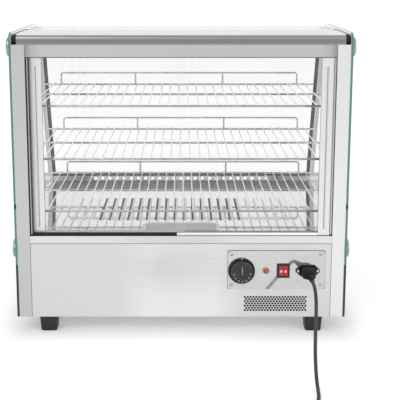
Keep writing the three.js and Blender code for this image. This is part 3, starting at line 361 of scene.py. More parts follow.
def trimSheet(name, low, high, stops):
    # stainless sheet rolled round a nose, its front linished darker. the colour along its height also paints
    # light: a painted highlight along the top and painted reflection bands down the front
    material, add, place = startFinish(name)
    stretched = add("Mapping", {"Scale": (6, 420, 420)}, {"Vector": place})
    rough, = blotches(add, stretched, 1.0, 3.0, [(0.3, 0.23), (0.7, 0.34)])
    return endFinish(material, add, {"Metallic": 1.0}, {
        "Base Color": alongAxis(add, place, "Z", low, high, stops), "Roughness": rough})


def platedWire(name, tone, darker):
    # drawn steel wire, nickel and chromium plated: bright, with a little haze that differs along the wire
    material, add, place = startFinish(name)
    colour, rough = blotches(add, place, 60.0, 3.0, [(0.3, darker), (0.7, tone)], [(0.3, 0.1), (0.7, 0.22)])
    return endFinish(material, add, {"Metallic": 1.0}, {"Base Color": colour, "Roughness": rough})


def mouldedPlastic(name, tone, lighter, grain, roughness, settings=None):
    # injection-moulded plastic with a spark-eroded grain, drawn grain mm across: matt, and paler where rubbed
    material, add, place = startFinish(name)
    spots = add("TexNoise", {"Scale": 1000 / grain, "Detail": 2.0}, {"Vector": place})
    colour, = blotches(add, place, 40.0, 3.0, [(0.35, tone), (0.75, lighter)])
    return endFinish(material, add, settings, {
        "Base Color": colour,
        "Roughness": add("ValToRGB", {
            "stops": [(0.3, roughness - 0.06), (0.7, roughness + 0.08)]}, {"Fac": spots}),
        "Normal": add("Bump", {"Strength": 0.25, "Distance": 0.0002}, {"Height": spots}),
    })


pane = {
    "faces": (339.3, 344.3),  # the side panes' faces, in millimetres from the middle
    "top": 626,
    # painted shade on a side pane's front edge, up from its foot: the steel base, then air, then one dark pad
    "behind": [(0.0, "#56645f"), (0.232, "#56645f"), (0.242, "#ffffff"), (0.425, "#ffffff"),
               (0.43, "#3c4543"), (0.441, "#3c4543"), (0.446, "#ffffff")],
}


def floatGlass(name, edgeTone, edgeLight, thin):
    # tempered float glass with ground edges: clear, and green where the edge shows its depth.
    # thin is the direction square to the pane, and lamps shine through it
    material, add, place = startFinish(name)
    clear = add("BsdfPrincipled", {
        "Base Color": linear("#fbfbfb"), "Roughness": 0.0, "IOR": 1.5, "Transmission Weight": 1.0})
    axis = "Y" if thin == "depth" else "X"
    test = "GREATER_THAN" if thin == "bent" else "LESS_THAN"
    normal = add("SeparateXYZ", None, {"Vector": add("TexCoord").outputs["Normal"]})
    facing = add("Math", {"operation": "ABSOLUTE"}, {0: normal.outputs[axis]})
    edge = add("Math", {"operation": test, 1: 0.5}, {0: facing})
    colour = alongAxis(add, place, "X", *pane["faces"], [(0.0, edgeLight), (0.22, edgeTone)])
    # painted shade: a side pane's edge is darkened by height where the base and a pad stand behind it
    if thin == "width":
        colour = shadeAlong(add, place, colour, "Z", 0, pane["top"], pane["behind"], False)
    rough, = blotches(add, place, 700.0, 2.0, [(0.3, 0.2), (0.7, 0.4)])
    green = add("BsdfPrincipled", None, {"Base Color": colour, "Roughness": rough})
    both = add("MixShader", None, {0: edge, 1: clear, 2: green})
    open = add("BsdfTransparent", {"Color": linear("#fbfcfc")})
    lit = add("MixShader", None, {0: add("LightPath").outputs["Is Shadow Ray"], 1: both, 2: open})
    add("OutputMaterial", None, {"Surface": lit})
    return material


def clearLens(name, tone, deep, heart, reach, strength, centres):
    # dyed polycarbonate, glossy and deep in colour, and pale within the reach of the small lamps behind it,
    # in millimetres from their centres
    material, add, place = startFinish(name)
    near = None
    for centre in centres:
        far = add("VectorMath", {"operation": "DISTANCE", 1: inRow(centre)}, {0: place}).outputs["Value"]
        near = add("Math", {"operation": "MINIMUM"}, {0: near, 1: far}) if near else far
    share = add("MapRange", {"From Min": reach * millimetre, "From Max": 0.0}, {"Value": near})
    colour, = blotches(add, place, 500.0, 1.0, [(0.3, deep), (0.7, tone)])
    return endFinish(material, add, {
        "Roughness": 0.12, "IOR": 1.58, "Coat Weight": 0.4, "Coat Roughness": 0.06,
        "Emission Strength": strength,
    }, {
        "Base Color": colour,
        "Emission Color": add("ValToRGB", {
            "stops": [(0.0, deep), (0.45, tone), (0.95, heart)]}, {"Fac": share}),
    })


def padPrint(name, tone, thinner):
    # pad-printed white ink, a little uneven where the pad left it thin
    material, add, place = startFinish(name)
    colour, = blotches(add, place, 900.0, 2.0, [(0.3, thinner), (0.6, tone)])
    return endFinish(material, add, {"Roughness": 0.5}, {"Base Color": colour})


def phosphorChip(name, tone, darker, light):
    # phosphor-covered diodes: pale yellow, and a warm white that the bent glass mirrors as dots
    material, add, place = startFinish(name)
    colour, = blotches(add, place, 1600.0, 2.0, [(0.3, darker), (0.7, tone)])
    return endFinish(material, add, {
        "Roughness": 0.45, "Emission Color": linear(light), "Emission Strength": 4.0}, {"Base Color": colour})


plateBow = {
    "tip": 0.045, "twist": 0.5, "lean": 0.112,  # slopes, the twist's per metre
    "right": 0.25, "middle": 0.1375,  # metres
}

looks = {
    brushedSheet: {
        "panelSteel": ("brushed stainless panel", "#dddede", "#d9dada"),
        # painted shade: a lighter copy of the panel steel, painted darker towards both sides
        "servicePanelSteel": ("brushed stainless service panel", "#e1e2e2", "#dddede", "width", (
            "X", 0, 313, [(0.0, "#ffffff"), (0.22, "#ffffff"), (0.42, "#ededed"), (1.0, "#eaeaea")])),
        # painted light: one steel, as a darker copy on the left post and the arms and a lighter copy on the
        # right post
        "postSteel": ("brushed stainless post", "#c0c0c1", "#bababb", "height"),
        "farPostSteel": ("brushed stainless right post", "#dfdfdf", "#dadada", "height"),
        # painted shade: the header rail is darker towards both ends
        "railSteel": ("brushed stainless rail", "#bfbfc0", "#b9b9ba", "width", (
            "X", 280, 312, [(0.0, "#ffffff"), (0.6, "#f0f0f0"), (1.0, "#c8c8c8")])),
        "sillSteel": ("brushed stainless sill", "#d8d8d8", "#d2d2d2"),
        # painted reflection: a dark strip where the polished floor mirrors the dark band at the bent glass's
        # foot
        "stripSteel": ("matt stainless rear strip", "#838384", "#7a7a7b", "width", None, 0.42),
    },
    anodisedAluminium: {
        "stileAluminium": ("anodised aluminium stile", "#dfdfe0", "#d8d8d9"),
        # painted light: a lighter copy of the stile, with a painted reflection of the dark jamb towards its
        # outer edge
        "leftStileAluminium": ("anodised aluminium left stile", "#e8e8e9", "#e1e1e2", "height", (
            "X", 283, 308, [(0.0, "#f2f2f2"), (0.5, "#f2f2f2"), (0.8, "#e6e6e6"), (1.0, "#dcdcdc")])),
        "railAluminium": ("anodised aluminium door rail", "#f8f8f8", "#f0f0f1", "width"),
        "jambLip": ("anodised jamb lip", "#b8b8b9", "#adadae"),
        # painted shade: a light strip over the groove's floor with a dark line down its middle
        "grooveShade": ("milled groove floor", "#e9e9ea", "#e2e2e3", "height", (
            "X", 292.5, 298.1, [(0.0, "#ffffff"), (0.3, "#d8d8d8"), (0.42, "#a0a0a1"), (0.58, "#a0a0a1"),
                                (0.7, "#d8d8d8"), (1.0, "#ffffff")])),
    },
    trimSheet: {
        "noseSteel": ("linished stainless nose", 606, 626, [
            (0.0, "#a2a2a3"), (0.12, "#9a9a9b"), (0.22, "#7b7b7c"), (0.5, "#838384"), (0.72, "#9c9c9d"),
            (0.86, "#858586"), (0.95, "#a2a2a2"), (0.985, "#dcdcdc")]),
    },
    mirrorSheet: {
        "mirrorSteel": ("bright annealed stainless floor", "#eeeeee", "#e6e6e7"),
        # painted highlight: the louvres are lighter and more matt than the floor steel, so they show as light
        # strokes
        "louvreSteel": ("pressed stainless louvres", "#fcfcfc", "#f4f4f5", 0.32, 0.35),
        "footSteel": ("bright annealed stainless foot rail", "#bcbcbd", "#b2b2b3"),
        "panSteel": ("deep-drawn stainless pan", "#f0f0f1", "#e7e7e8", 0.42, 0.6),
        "cap": ("satin-plated clamp cap", "#98a5a1", "#86948f", 0.22),
        "plateSteel": ("polished stainless plate", "#cfcfcf", "#c8c8c8", 0.05, 0.72, 0.01, plateBow),
    },
    platedWire: {
        "rail": ("chromium-plated rod", "#c4c4c5", "#aaaaab"),
        "wire": ("chromium-plated wire", "#f2f2f2", "#e8e8e9"),
        "screw": ("zinc-plated screw", "#e4e4e4", "#c4c5c5"),
    },
    floatGlass: {
        "sideGlass": ("tempered side glass", "#5f8f80", "#cfe2db", "width"),
        "bentGlass": ("bent tempered glass", "#6f9c8e", "#6f9c8e", "bent"),
        "doorGlass": ("tempered door glass", "#9dbcb2", "#9dbcb2", "depth"),
    },
    mouldedPlastic: {
        "seal": ("extruded silicone seal", "#424243", "#4c4c4d", 0.8, 0.62),
        "jamb": ("extruded jamb seal", "#343435", "#3e3e3f", 0.8, 0.6),
        "trackPlastic": ("extruded grey-black PVC track", "#38383a", "#454547", 0.8, 0.5),
        "blackPlastic": ("moulded black ABS", "#161617", "#202021", 0.7, 0.42),
        "darkPlastic": ("moulded black polyamide", "#0d0d0e", "#161617", 0.7, 0.5, {
            "Specular IOR Level": 0.25}),
        "knobPlastic": ("moulded phenolic knob", "#222223", "#2c2c2d", 0.7, 0.38),
        "cordJacket": ("extruded PVC cord jacket", "#333334", "#3f3f40", 1.2, 0.42),
        "cordTie": ("moulded grey cord tie", "#9a9a9b", "#a8a8a9", 0.8, 0.5),
        "lampFlange": ("peach lamp flange", "#e2ad84", "#ebbc96", 0.8, 0.35),
        # painted glints: white dots that glow, though they are no lamp
        "dotSilicone": ("moulded white silicone dots", "#fafaf8", "#ffffff", 0.6, 0.4, {
            "Emission Color": linear("#ffffff"), "Emission Strength": 0.85}),
        # painted shade: dark cups in the vent's holes
        "ventShade": ("shaded mesh behind the vent", "#0c0c0c", "#131313", 0.8, 0.6, {
            "Specular IOR Level": 0.15}),
        # painted shadow: grey strips in the joints, discs under the plate screws and a ring round the control
        # plate
        "jointShadow": ("grey joint sealant", "#555556", "#616162", 0.6, 0.6),
    },
    padPrint: {"whitePrint": ("pad-printed white ink", "#d9d9d6", "#bdbdbb")},
    phosphorChip: {"chip": ("phosphor diode", "#f2e6a6", "#e8d98a", "#fff6e6")},
    clearLens: {
        "lampLens": ("orange dyed lamp lens", "#b25a34", "#74300f", "#e8a070", 5, 0.22, [(177, -8, 136.2)]),
        "keyLens": ("red dyed rocker key", "#b3061d", "#56020c", "#ffe6e2", 5.6, 0.95, [
            (208.33, -5.2, 135.2), (217.67, -5.2, 135.2)]),
    },
}
finishes = {key: make(*values) for make, rows in looks.items() for key, values in rows.items()}
print("finishes made")


# The supply cord, from the connector's relief to the plug

cord = {
    "diameter": 7.0, "sides": 16,
    "floor": 3.7,  # height of its centre where it lies on the floor
    "coil": (-50.0, -380.0), "coilRadius": 49.0, "coilPitch": 8.0, "coilRise": 7.8, "coilTurns": 4.5,
    "stepsPerTurn": 24, "leadOut": 50.0, "plugLevel": 19.2,
    "laid": (60, 120),  # points of its line, between hanging and lying
}
cordRoute = [
    (264, -63.7, 136.2), (264, -70.7, 136.2), (264.4, -86, 134.4), (264.4, -102, 128.5), (263.4, -118, 118.5),
    (261.4, -134, 105.5), (258.8, -150, 91), (256, -166, 76), (253.4, -182, 61), (251.2, -198, 46.5),
    (249.6, -214, 33), (248.4, -230, 21.5), (247.6, -246, 12.8), (247, -262, 7.2), (246, -277, 4.4),
    (243, -292, 3.7), (236, -306, 3.7), (225, -318, 3.7), (210, -326.5, 3.7), (191, -330.5, 3.7),
    *[(x, -331, 3.7) for x in (162, 125, 85, 45, 5, -28.7, -42.7)],
]


def smoothThrough(points, perPiece=8):
    # a Catmull-Rom curve whose pace between two points is the root of their distance
    p = np.asarray(points, float)
    p = np.vstack([2 * p[0] - p[1], p, 2 * p[-1] - p[-2]])
    a, b, c, d = p[:-3], p[1:-2], p[2:-1], p[3:]
    before, here, after = [np.sqrt(np.linalg.norm(v, axis=1))[:, None] for v in (b - a, c - b, d - c)]
    m1 = ((b - a) / before - (c - a) / (before + here) + (c - b) / here) * here
    m2 = ((c - b) / here - (d - b) / (here + after) + (d - c) / after) * here
    t = np.linspace(0, 1, perPiece, endpoint=False)[None, :, None]
    b, c, m1, m2 = (v[:, None] for v in (b, c, m1, m2))
    curve = (2 * t**3 - 3 * t**2 + 1) * b + (t**3 - 2 * t**2 + t) * m1
    curve = curve + (3 * t**2 - 2 * t**3) * c + (t**3 - t**2) * m2
    return np.vstack([curve.reshape(-1, 3), p[-2]])


def coilLine():
    # a flat spiral: the radius falls and grows again evenly, and the line climbs one layer midway. its end
    # leads out to the plug, along a smooth step up to the plug's middle
    perTurn = cord["stepsPerTurn"]
    total = int(cord["coilTurns"] * perTurn)
    step = np.arange(total + 1)
    radius = cord["coilRadius"] - cord["coilPitch"] * np.minimum(step, total - step) / perTurn
    climbed = shareOf(step, (total - perTurn / 2) / 2, (total + perTurn / 2) / 2)
    flat = cord["coil"] + radius[:, None] * circle(np.pi / 2 + 2 * np.pi * step / perTurn)
    ring = np.column_stack([flat, cord["floor"] + cord["coilRise"] * climbed])
    share = np.arange(1, 7) / 6
    climb = (cord["plugLevel"] - ring[-1, 2]) * share**2 * (3 - 2 * share)
    lead = ring[-1] + np.stack([cord["leadOut"] * share, 0 * share, climb], 1)
    return np.vstack([ring, lead, lead[-1] + (cord["diameter"], 0, 0)])


cordLine = np.vstack([smoothThrough(cordRoute), coilLine()])
plugStart = cordLine[-1]


def cordShell():
    # the circle's start turns from the hanging part, near one upright plane, to the part on the floor
    laid = shareOf(np.arange(len(cordLine)), *cord["laid"])[:, None]
    across = unit((1 - laid) * (1, 0.15, 0) + laid * (0, 0, 1))
    return tube(cordLine, cord["diameter"] / 2, cord["sides"], across)


supplyCord = makePiece("supply_cord", cordShell(), "cordJacket", ("cord_run", "cord_coil"))

relief = {"length": 28.0, "root": 14.0, "tip": 9.4, "ribs": 5, "ribDepth": 0.9}


def reliefShell(start, length, centre):
    # a taper with soft ribs: the radius falls evenly and dips along a cosine between the ribs
    t = np.linspace(0, 1, relief["ribs"] * 8 + 1)
    ribs = relief["ribDepth"] * rippled(relief["ribs"], 2 * np.pi * t)
    profile = np.stack([between(relief["root"], relief["tip"], t) / 2 - ribs, start - length * t], 1)
    return turned(np.vstack([[pole, start], profile, [pole, start - length]]), 24, centre)


connector = {
    "x": 264.0, "z": 136.2, "back": -5.4, "front": -35.4, "sunk": 3.0,  # the relief starts this far inside
    "backSize": (13.8, 10.0, 4.0), "frontSize": (8.2, 8.0, 7.6),  # half width, half height and corner
    "edge": 1.2, "edgeShare": 0.05, "grips": 9, "gripDepth": 0.7,
    "gripped": (0.12, 0.62),  # shares of the way to the viewer
}


def connectorShell():
    # rounded rectangles stacked towards the viewer: full, then finger grips, a cosine in depth, then drawn in
    t = np.linspace(0, 1, 25)
    gripFrom, gripTo = connector["gripped"]
    narrow = shareOf(t, gripTo, 1) ** 1.4
    gripped = (t > gripFrom) & (t < gripTo)
    grip = connector["gripDepth"] * rippled(connector["grips"], 2 * np.pi * t) * gripped
    edge = connector["edge"] * (1 - np.sqrt(1 - shareOf(t, connector["edgeShare"], 0) ** 2))
    w, h, c = [between(b, f, narrow) for b, f in zip(connector["backSize"], connector["frontSize"])]
    depth = between(connector["back"], connector["front"], t)
    rings = np.stack([np.insert(roundedRing(*size), 1, y, axis=1)
                      for *size, y in zip(w - grip - edge, h - edge, c, depth)])
    centre = (connector["x"], 0, connector["z"])
    sunk = connector["sunk"]
    return together([closedShell(rings + centre),
                     reliefShell(connector["front"] + sunk, relief["length"] + sunk, centre)])


connectorPiece = makePiece(
    "line_connector", connectorShell(), "darkPlastic", ("cord_connector",))

plug = {  # radius and place along the plug's own line, which starts at the relief and runs to the pins
    "head": [(pole, -28), (8.5, -28), (12.3, -30.6)],
    "grip": 13.5, "waist": 1.6, "gripped": (-33.0, -47.0),
    "body": [(17, -52), (19, -55), (19, -82), (18.4, -83.4), (17, -84), (pole, -84)],
    "face": -84.0, "pinRadius": 2.4, "pinLength": 19.0, "pinPitch": 19.0, "pinRoot": 1.5,
    "start": 0.3,  # from the cord's end to the plug's line
}


def alongWidth(shell):
    # turns a shell made towards the viewer to point to the right, at the cord's end
    points, faces = shell
    start = plugStart + (plug["start"], 0, 0)
    return np.stack([-points[:, 1], points[:, 0], points[:, 2]], 1) + start, faces


def plugShell():
    # a two-pin earthed plug about its own line: relief, grip with its waist a sine, and round body
    t = np.linspace(0, 1, 13)
    grip = np.stack([plug["grip"] - plug["waist"] * np.sin(np.pi * t), between(*plug["gripped"], t)], 1)
    profile = np.vstack([plug["head"], grip, plug["body"]])
    return together([reliefShell(-plug["start"], relief["length"] + 1, (0, 0, 0)),
                     turned(profile, 40, (0, 0, 0))])


def pinShell():
    # two round pins with half-ball tips
    radius = plug["pinRadius"]
    turn = np.linspace(0, np.pi / 2, 6)
    tip = np.stack([np.maximum(radius * np.cos(turn), pole),
                    plug["face"] - plug["pinLength"] + radius - radius * np.sin(turn)], 1)
    root = plug["face"] + plug["pinRoot"]
    profile = np.vstack([(pole, root), (radius, root), tip])
    return together([turned(profile, 16, (side * plug["pinPitch"] / 2, 0, 0)) for side in (-1, 1)])


tie = {"halfWidth": 5.0, "gap": 0.1, "thick": 0.9, "floor": 0.02, "under": 0.06, "corners": 72}


def tieShell():
    # a flat strap round the coil's left side: in each direction it lies on the farthest turn
    perTurn = cord["stepsPerTurn"]
    turns = coilLine()[perTurn // 4:int(cord["coilTurns"] * perTurn):perTurn][:, [0, 2]]
    ways = circle(fullTurn(tie["corners"]))
    farthest = turns[np.argmax(turns @ ways.T, axis=0)]
    loops = []
    for outer, side in ((1, -1), (0, -1), (0, 1), (1, 1)):
        ring = farthest + (cord["diameter"] / 2 + tie["gap"] + outer * tie["thick"]) * ways
        ring[:, 1] = np.maximum(ring[:, 1], tie["floor"] + tie["under"] * (1 - outer))
        loops.append(np.insert(ring, 1, cord["coil"][1] + side * tie["halfWidth"], axis=1))
    return loopShell(loops)


tiePiece = makePiece("cord_tie", tieShell(), "cordTie")
plugPiece = makePiece(
    "mains_plug_body", alongWidth(plugShell()), "blackPlastic", ("mains_plug",))
pinPiece = makePiece("mains_plug_pins", alongWidth(pinShell()), "screw")
print("connector, tie and plug made")


# Shelves: straight wires over three rails, and a bent rod along the far edge

shelf = {
    "levels": {"upper": (475.0, -5), "middle": (362.5, -1), "lower": (250.0, 5)},  # height and sideways place
    "railRadius": 2.4, "railDepths": (50.0, 219.7, 389.4), "railHalf": 333.0,
    "wireRadius": 1.5, "wires": 31, "pitch": 20.4, "wireRise": 3.3, "wireFront": 47.0, "wireBack": 392.4,
    "rodRadius": 2.0, "rodHalf": 291.0, "uprights": (-107.4, 107.4), "rodRise": 2.7, "rodHeight": 26.0,
    "bend": 6.0,
}


def railShell(level, shift):
    left, right = shift - shelf["railHalf"], shift + shelf["railHalf"]
    return together([rod((left, y, level), (right, y, level), shelf["railRadius"], 14)
                     for y in shelf["railDepths"]])


def wireShell(level, shift):
    z = level + shelf["wireRise"]
    return together([rod((x, shelf["wireFront"], z), (x, shelf["wireBack"], z), shelf["wireRadius"], 12)
                     for x in shift + evenly(shelf["wires"], shelf["pitch"])])


def galleryShell(level, shift):
    # up, round a quarter circle, along, round another and down again, with two uprights between
    foot = level + shelf["rodRise"]
    top = foot + shelf["rodHeight"]
    bend = shelf["bend"]
    y = shelf["railDepths"][-1]
    turn = np.linspace(0, np.pi / 2, 7)
    left = (shift - shelf["rodHalf"] + bend, top - bend) + bend * circle(turn) * (-1, 1)
    right = np.stack([2 * shift - left[::-1, 0], left[::-1, 1]], 1)
    path = np.vstack([[left[0, 0], foot], left, right, [right[-1, 0], foot]])
    paths = [np.insert(path, 1, y, axis=1)]
    paths += [[(shift + x, y, foot), (shift + x, y, top - 1)] for x in shelf["uprights"]]
    return together([tube(line, shelf["rodRadius"], 14, (0, 1, 0)) for line in paths])


for word, (level, shift) in shelf["levels"].items():
    makePiece("shelf_wires_" + word, wireShell(level, shift), "wire", ("shelf_" + word,))
    makePiece("shelf_rails_" + word, railShell(level, shift), "rail", ("shelf_" + word,))
    makePiece("shelf_rod_" + word, galleryShell(level, shift), "rail", ("gallery_" + word,))
print("shelves made")


# Thermostat knob with its numbers, and the mark on the bezel

knob = {
    "x": 126.2, "z": 136.2, "face": -21.4, "back": -3.6, "radius": 25.0, "faceRadius": 21.9, "edge": 1.5,
    "dish": 0.5, "dishAt": [(0.2, 1), (8, 0.9), (15, 0.6), (19, 0.3)],  # radius and share of the dish's depth
    "ribs": 40, "ribDepth": 0.35, "ribsFrom": 9,  # the ring where the ribs begin
    "pointer": (-2.2, 14.4), "pointerWidth": 0.9, "inkRise": 0.12,
    "numbers": {30: 188, 40: 216, 50: 245, 60: 272, 70: 300, 80: 329, 90: 357}, "ring": 16.8, "size": 4.42,
    "mark": (125.2, 127.2, 160.9, 164.6, -7.3, -6.9),
}


def knobShell():
    # rings from the hub over the dished face, round its edge and down the side, whose ribs are a cosine
    turn = np.linspace(0, np.pi / 2, 7)[1:]
    down = np.linspace(0, 1, 6)[1:]
    hub, depth = np.array(knob["dishAt"]).T
    inner = knob["faceRadius"] - knob["edge"]
    skirt = knob["face"] + knob["edge"]
    r = np.concatenate([hub, [inner], inner + knob["edge"] * np.sin(turn),
                        between(knob["faceRadius"], knob["radius"], down), hub[:1]])
    y = np.concatenate([knob["face"] + knob["dish"] * depth, [knob["face"]],
                        knob["face"] + knob["edge"] * (1 - np.cos(turn)),
                        between(skirt, knob["back"], down), [knob["back"]]])
    ribbed = np.zeros((len(r), 1))
    ribbed[knob["ribsFrom"]:-1] = knob["ribDepth"]
    angle = fullTurn(6 * knob["ribs"])
    radius = r[:, None] - ribbed * rippled(knob["ribs"], angle)
    return roundLine(radius, y[:, None], angle, (knob["x"], 0, knob["z"]))


def numberShell(text, centre, outwardTo):
    # a number in the built-in face, turned so that its top points outward from the hub
    curve = bpy.data.curves.new("number", "FONT")
    curve.body = text
    curve.size = knob["size"]
    curve.align_x = "CENTER"
    curve.align_y = "CENTER"
    curve.extrude = 0.06
    curve.resolution_u = 3
    holder = addObject("number", curve)
    shape = bpy.data.meshes.new_from_object(holder.evaluated_get(bpy.context.evaluated_depsgraph_get()))
    flat = np.array([v.co for v in shape.vertices])
    faces = [list(f.vertices) for f in shape.polygons]
    bpy.data.objects.remove(holder)
    c, s = circle(outwardTo)
    x = centre[0] + flat[:, 0] * s + flat[:, 1] * c
    z = centre[2] - flat[:, 0] * c + flat[:, 1] * s
    return np.stack([x, centre[1] - flat[:, 2], z], 1), faces


def knobInk():
    # the pointer's line on the hub, and each number at the dished face's depth there
    level = knob["face"] + knob["dish"] * 0.45 - knob["inkRise"] + 0.06
    half = knob["pointerWidth"] / 2
    low, high = knob["pointer"]
    shells = [boxShell(knob["x"] - half, knob["x"] + half, knob["z"] + low, knob["z"] + high,
                       knob["face"] - 0.05, knob["face"] + 0.6)]
    for number, degrees in knob["numbers"].items():
        turn = math.radians(degrees)
        x, z = (knob["x"], knob["z"]) + knob["ring"] * circle(turn)
        shells.append(numberShell(str(number), (x, level, z), turn))
    return together(shells)


makePiece("knob_body", knobShell(), "knobPlastic", ("thermostat_knob",), "knob")
makePiece("knob_print", knobInk(), "whitePrint", body="knob")
makePiece("bezel_mark", boxShell(*knob["mark"]), "whitePrint")
print("knob made")


# Pilot lamp

lamp = {
    "centre": (177.0, 0, 136.2), "front": -3.7, "dome": 5.0, "domeRadius": 5.6,
    "flutes": 14, "fluteShare": 0.06,
    "flange": [(pole, -2.1), (7.5, -2.1), (7.5, -3.2), (7.35, -3.55), (7.0, -3.7), (pole, -3.7)],
}


def lampShell():
    # a dome whose radius ripples along a cosine round it, as the lens's flutes do
    turn = np.linspace(0, np.pi / 2, 9)
    front = lamp["front"]
    r = np.concatenate([[pole, lamp["domeRadius"]], lamp["domeRadius"] * np.cos(turn[:-1]), [pole]])
    y = np.concatenate([[front + 0.5, front + 0.5], front - lamp["dome"] * np.sin(turn)])
    fluted = np.full((len(r), 1), lamp["fluteShare"])
    fluted[[0, -1]] = 0
    angle = fullTurn(6 * lamp["flutes"])
    radius = r[:, None] * (1 - fluted * rippled(lamp["flutes"], angle))
    return roundLine(radius, y[:, None], angle, lamp["centre"])


makePiece("lamp_lens", lampShell(), "lampLens", ("pilot_lamp",))
makePiece("lamp_flange", turned(lamp["flange"], 48, lamp["centre"]), "lampFlange")


# Rocker keys

rocker = {
    "centres": {"left": 208.33, "right": 217.67}, "z": 136.2, "pivot": -1.5, "tilt": -6.0,
    "width": 9.0, "half": 10.5, "ends": -6.2, "middle": -4.8, "skirt": -1.7, "skirtInset": 0.2,
    "tips": 0.5, "tipsFrom": 0.92,
    "edge": ((0.5, 0.0), (0.15, 0.12), (0.0, 0.45)),  # how far the outline draws in, and from the side
}


def rockerShell(x):
    # a dished key: its face is a parabola between raised ends, and its sides draw in over a small radius
    across = np.linspace(-1, 1, 25)
    face = between(rocker["middle"], rocker["ends"], across**2)
    face = face + rocker["tips"] * shareOf(np.abs(across), rocker["tipsFrom"], 1) ** 2
    foot = rocker["half"] - rocker["skirtInset"]
    outline = np.vstack([np.stack([face, rocker["half"] * across], 1),
                         [(rocker["skirt"], foot), (rocker["skirt"], -foot)]])
    isFace = outline[:, 0] < rocker["skirt"] - 0.1
    rings = []
    for side, edges in ((-1, rocker["edge"]), (1, rocker["edge"][::-1])):
        for inset, reach in edges:
            wide = np.full(len(outline), x + side * (rocker["width"] / 2 - reach))
            rings.append(np.stack([wide, outline[:, 0] + inset * isFace - rocker["pivot"],
                                   outline[:, 1] * (1 - inset / rocker["half"])], 1))
    x, y, z = np.stack(rings).transpose(2, 0, 1)
    c, s = circle(math.radians(rocker["tilt"]))
    return closedShell(np.stack([x, rocker["pivot"] + y * c - z * s, rocker["z"] + y * s + z * c], -1))


for word, x in rocker["centres"].items():
    makePiece(
        "key_" + word, rockerShell(x), "keyLens", ("rocker_" + word,), "switch_key_" + word)


# Screws of the control plate and of the inlet

screw = {
    "plate": [(x, -1.8, z) for x in (104.6, 290.9) for z in (171.9, 105.1)], "plateSize": (2.8, 1.3, 0.4),
    "inlet": [(x, -5.1, 136.2) for x in (244.0, 284.0)], "inletSize": (2.6, 1.1, 0),  # radius, rise and twist
    "recess": [(pole, -0.06), (3.5, -0.06), (3.7, 0.05), (pole, 0.05)],
    "rings": (0.02, 0.15, 0.3, 0.42, 0.5, 0.58, 0.66, 0.8, 0.92, 1.0, 1.0),
    "crossWidth": 0.17, "crossReach": 0.62, "crossDepth": 0.45, "dome": 0.75,  # shares of radius and rise
}


def screwShell(centre, radius, rise, twist):
    # a domed head: its height falls along a parabola and drops inside the cross
    r = np.array(screw["rings"])[:, None]
    angle = fullTurn(48)
    turn = angle - twist - centre[0]
    across = r * np.minimum(np.abs(np.cos(turn)), np.abs(np.sin(turn)))
    cross = (across < screw["crossWidth"]) & (r < screw["crossReach"])
    height = rise * (1 - screw["dome"] * r**2 - screw["crossDepth"] * cross)
    height[-1] = 0
    return roundLine(radius * r, -height, angle, centre)


makePiece("plate_screws", together([screwShell(at, *screw["plateSize"]) for at in screw["plate"]]), "screw")
# painted shadow: a dark disc under each plate screw's head
makePiece("screw_recesses", together([turned(screw["recess"], 32, at) for at in screw["plate"]]),
          "jointShadow")
makePiece("inlet_screws", together([screwShell(at, *screw["inletSize"]) for at in screw["inlet"]]), "screw")
print("lamp, keys and screws made")


# Painted shadow in thin lines where sheets meet and round the control plate: a rounded rectangle and one cut
# out

seams = {
    "outer": (102.2, 42.2, 4.5), "inner": (100.6, 40.6, 2.9),  # the painted shadow ring's half width, half height and corner
    "centre": (198.5, 137.5), "front": -0.27, "back": -0.02,
    "joints": [  # width, height and depth, each from and to
        (-313.35, -312.35, 34.2, 193.6, -0.06, 0.6), (312.35, 313.35, 34.2, 193.6, -0.06, 0.6),
        (-313.25, -312.35, 583.0, 605.6, -0.06, 0.6), (312.35, 313.25, 583.0, 605.6, -0.06, 0.6),
        (-312.6, 312.6, 193.3, 194.4, -0.06, 0.6), (-312.6, 312.6, 581.2, 582.1, 0.1, 0.9),
    ],
}


def plateSealShell():
    return loopShell([
        np.insert(roundedRing(*seams[edge]) + seams["centre"], 1, seams[end], axis=1) for edge, end in
        (("outer", "front"), ("inner", "front"), ("inner", "back"), ("outer", "back"))])


makePiece("plate_edge_seal", plateSealShell(), "jointShadow")
makePiece("sheet_joints", together([boxShell(*box) for box in seams["joints"]]), "jointShadow")


# Vent: painted shade, as a dark sheet behind the holes and a dark cup in each hole

vent = {
    "screen": (126.0, 272.0, 42.0, 84.0, 1.5, 1.9),
    "columns": 22, "rows": 7, "pitchX": 6.07, "pitchZ": 4.83, "left": 133.8, "top": 77.5,
    "cup": [(pole, -0.03), (2.35, -0.05), (2.35, 0.1), (1.6, 0.7), (pole, 0.7)],  # radius and depth
}


def ventShell():
    # a small dark cup in each hole, painted shade inside it; each other row is half a pitch further and one
    # shorter
    cups = []
    for row in range(vent["rows"]):
        z = vent["top"] - row * vent["pitchZ"]
        for column in range(vent["columns"] - row % 2):
            x = vent["left"] + (column + (row % 2) / 2) * vent["pitchX"]
            cups.append(turned(vent["cup"], 12, (x, 0, z)))
    return together(cups)


makePiece("vent_screen", boxShell(*vent["screen"]), "blackPlastic")
makePiece("vent_cups", ventShell(), "ventShade")


# Grip grooves of the doors, filled with a light strip with a painted shade line, and the bright lips of the
# jambs

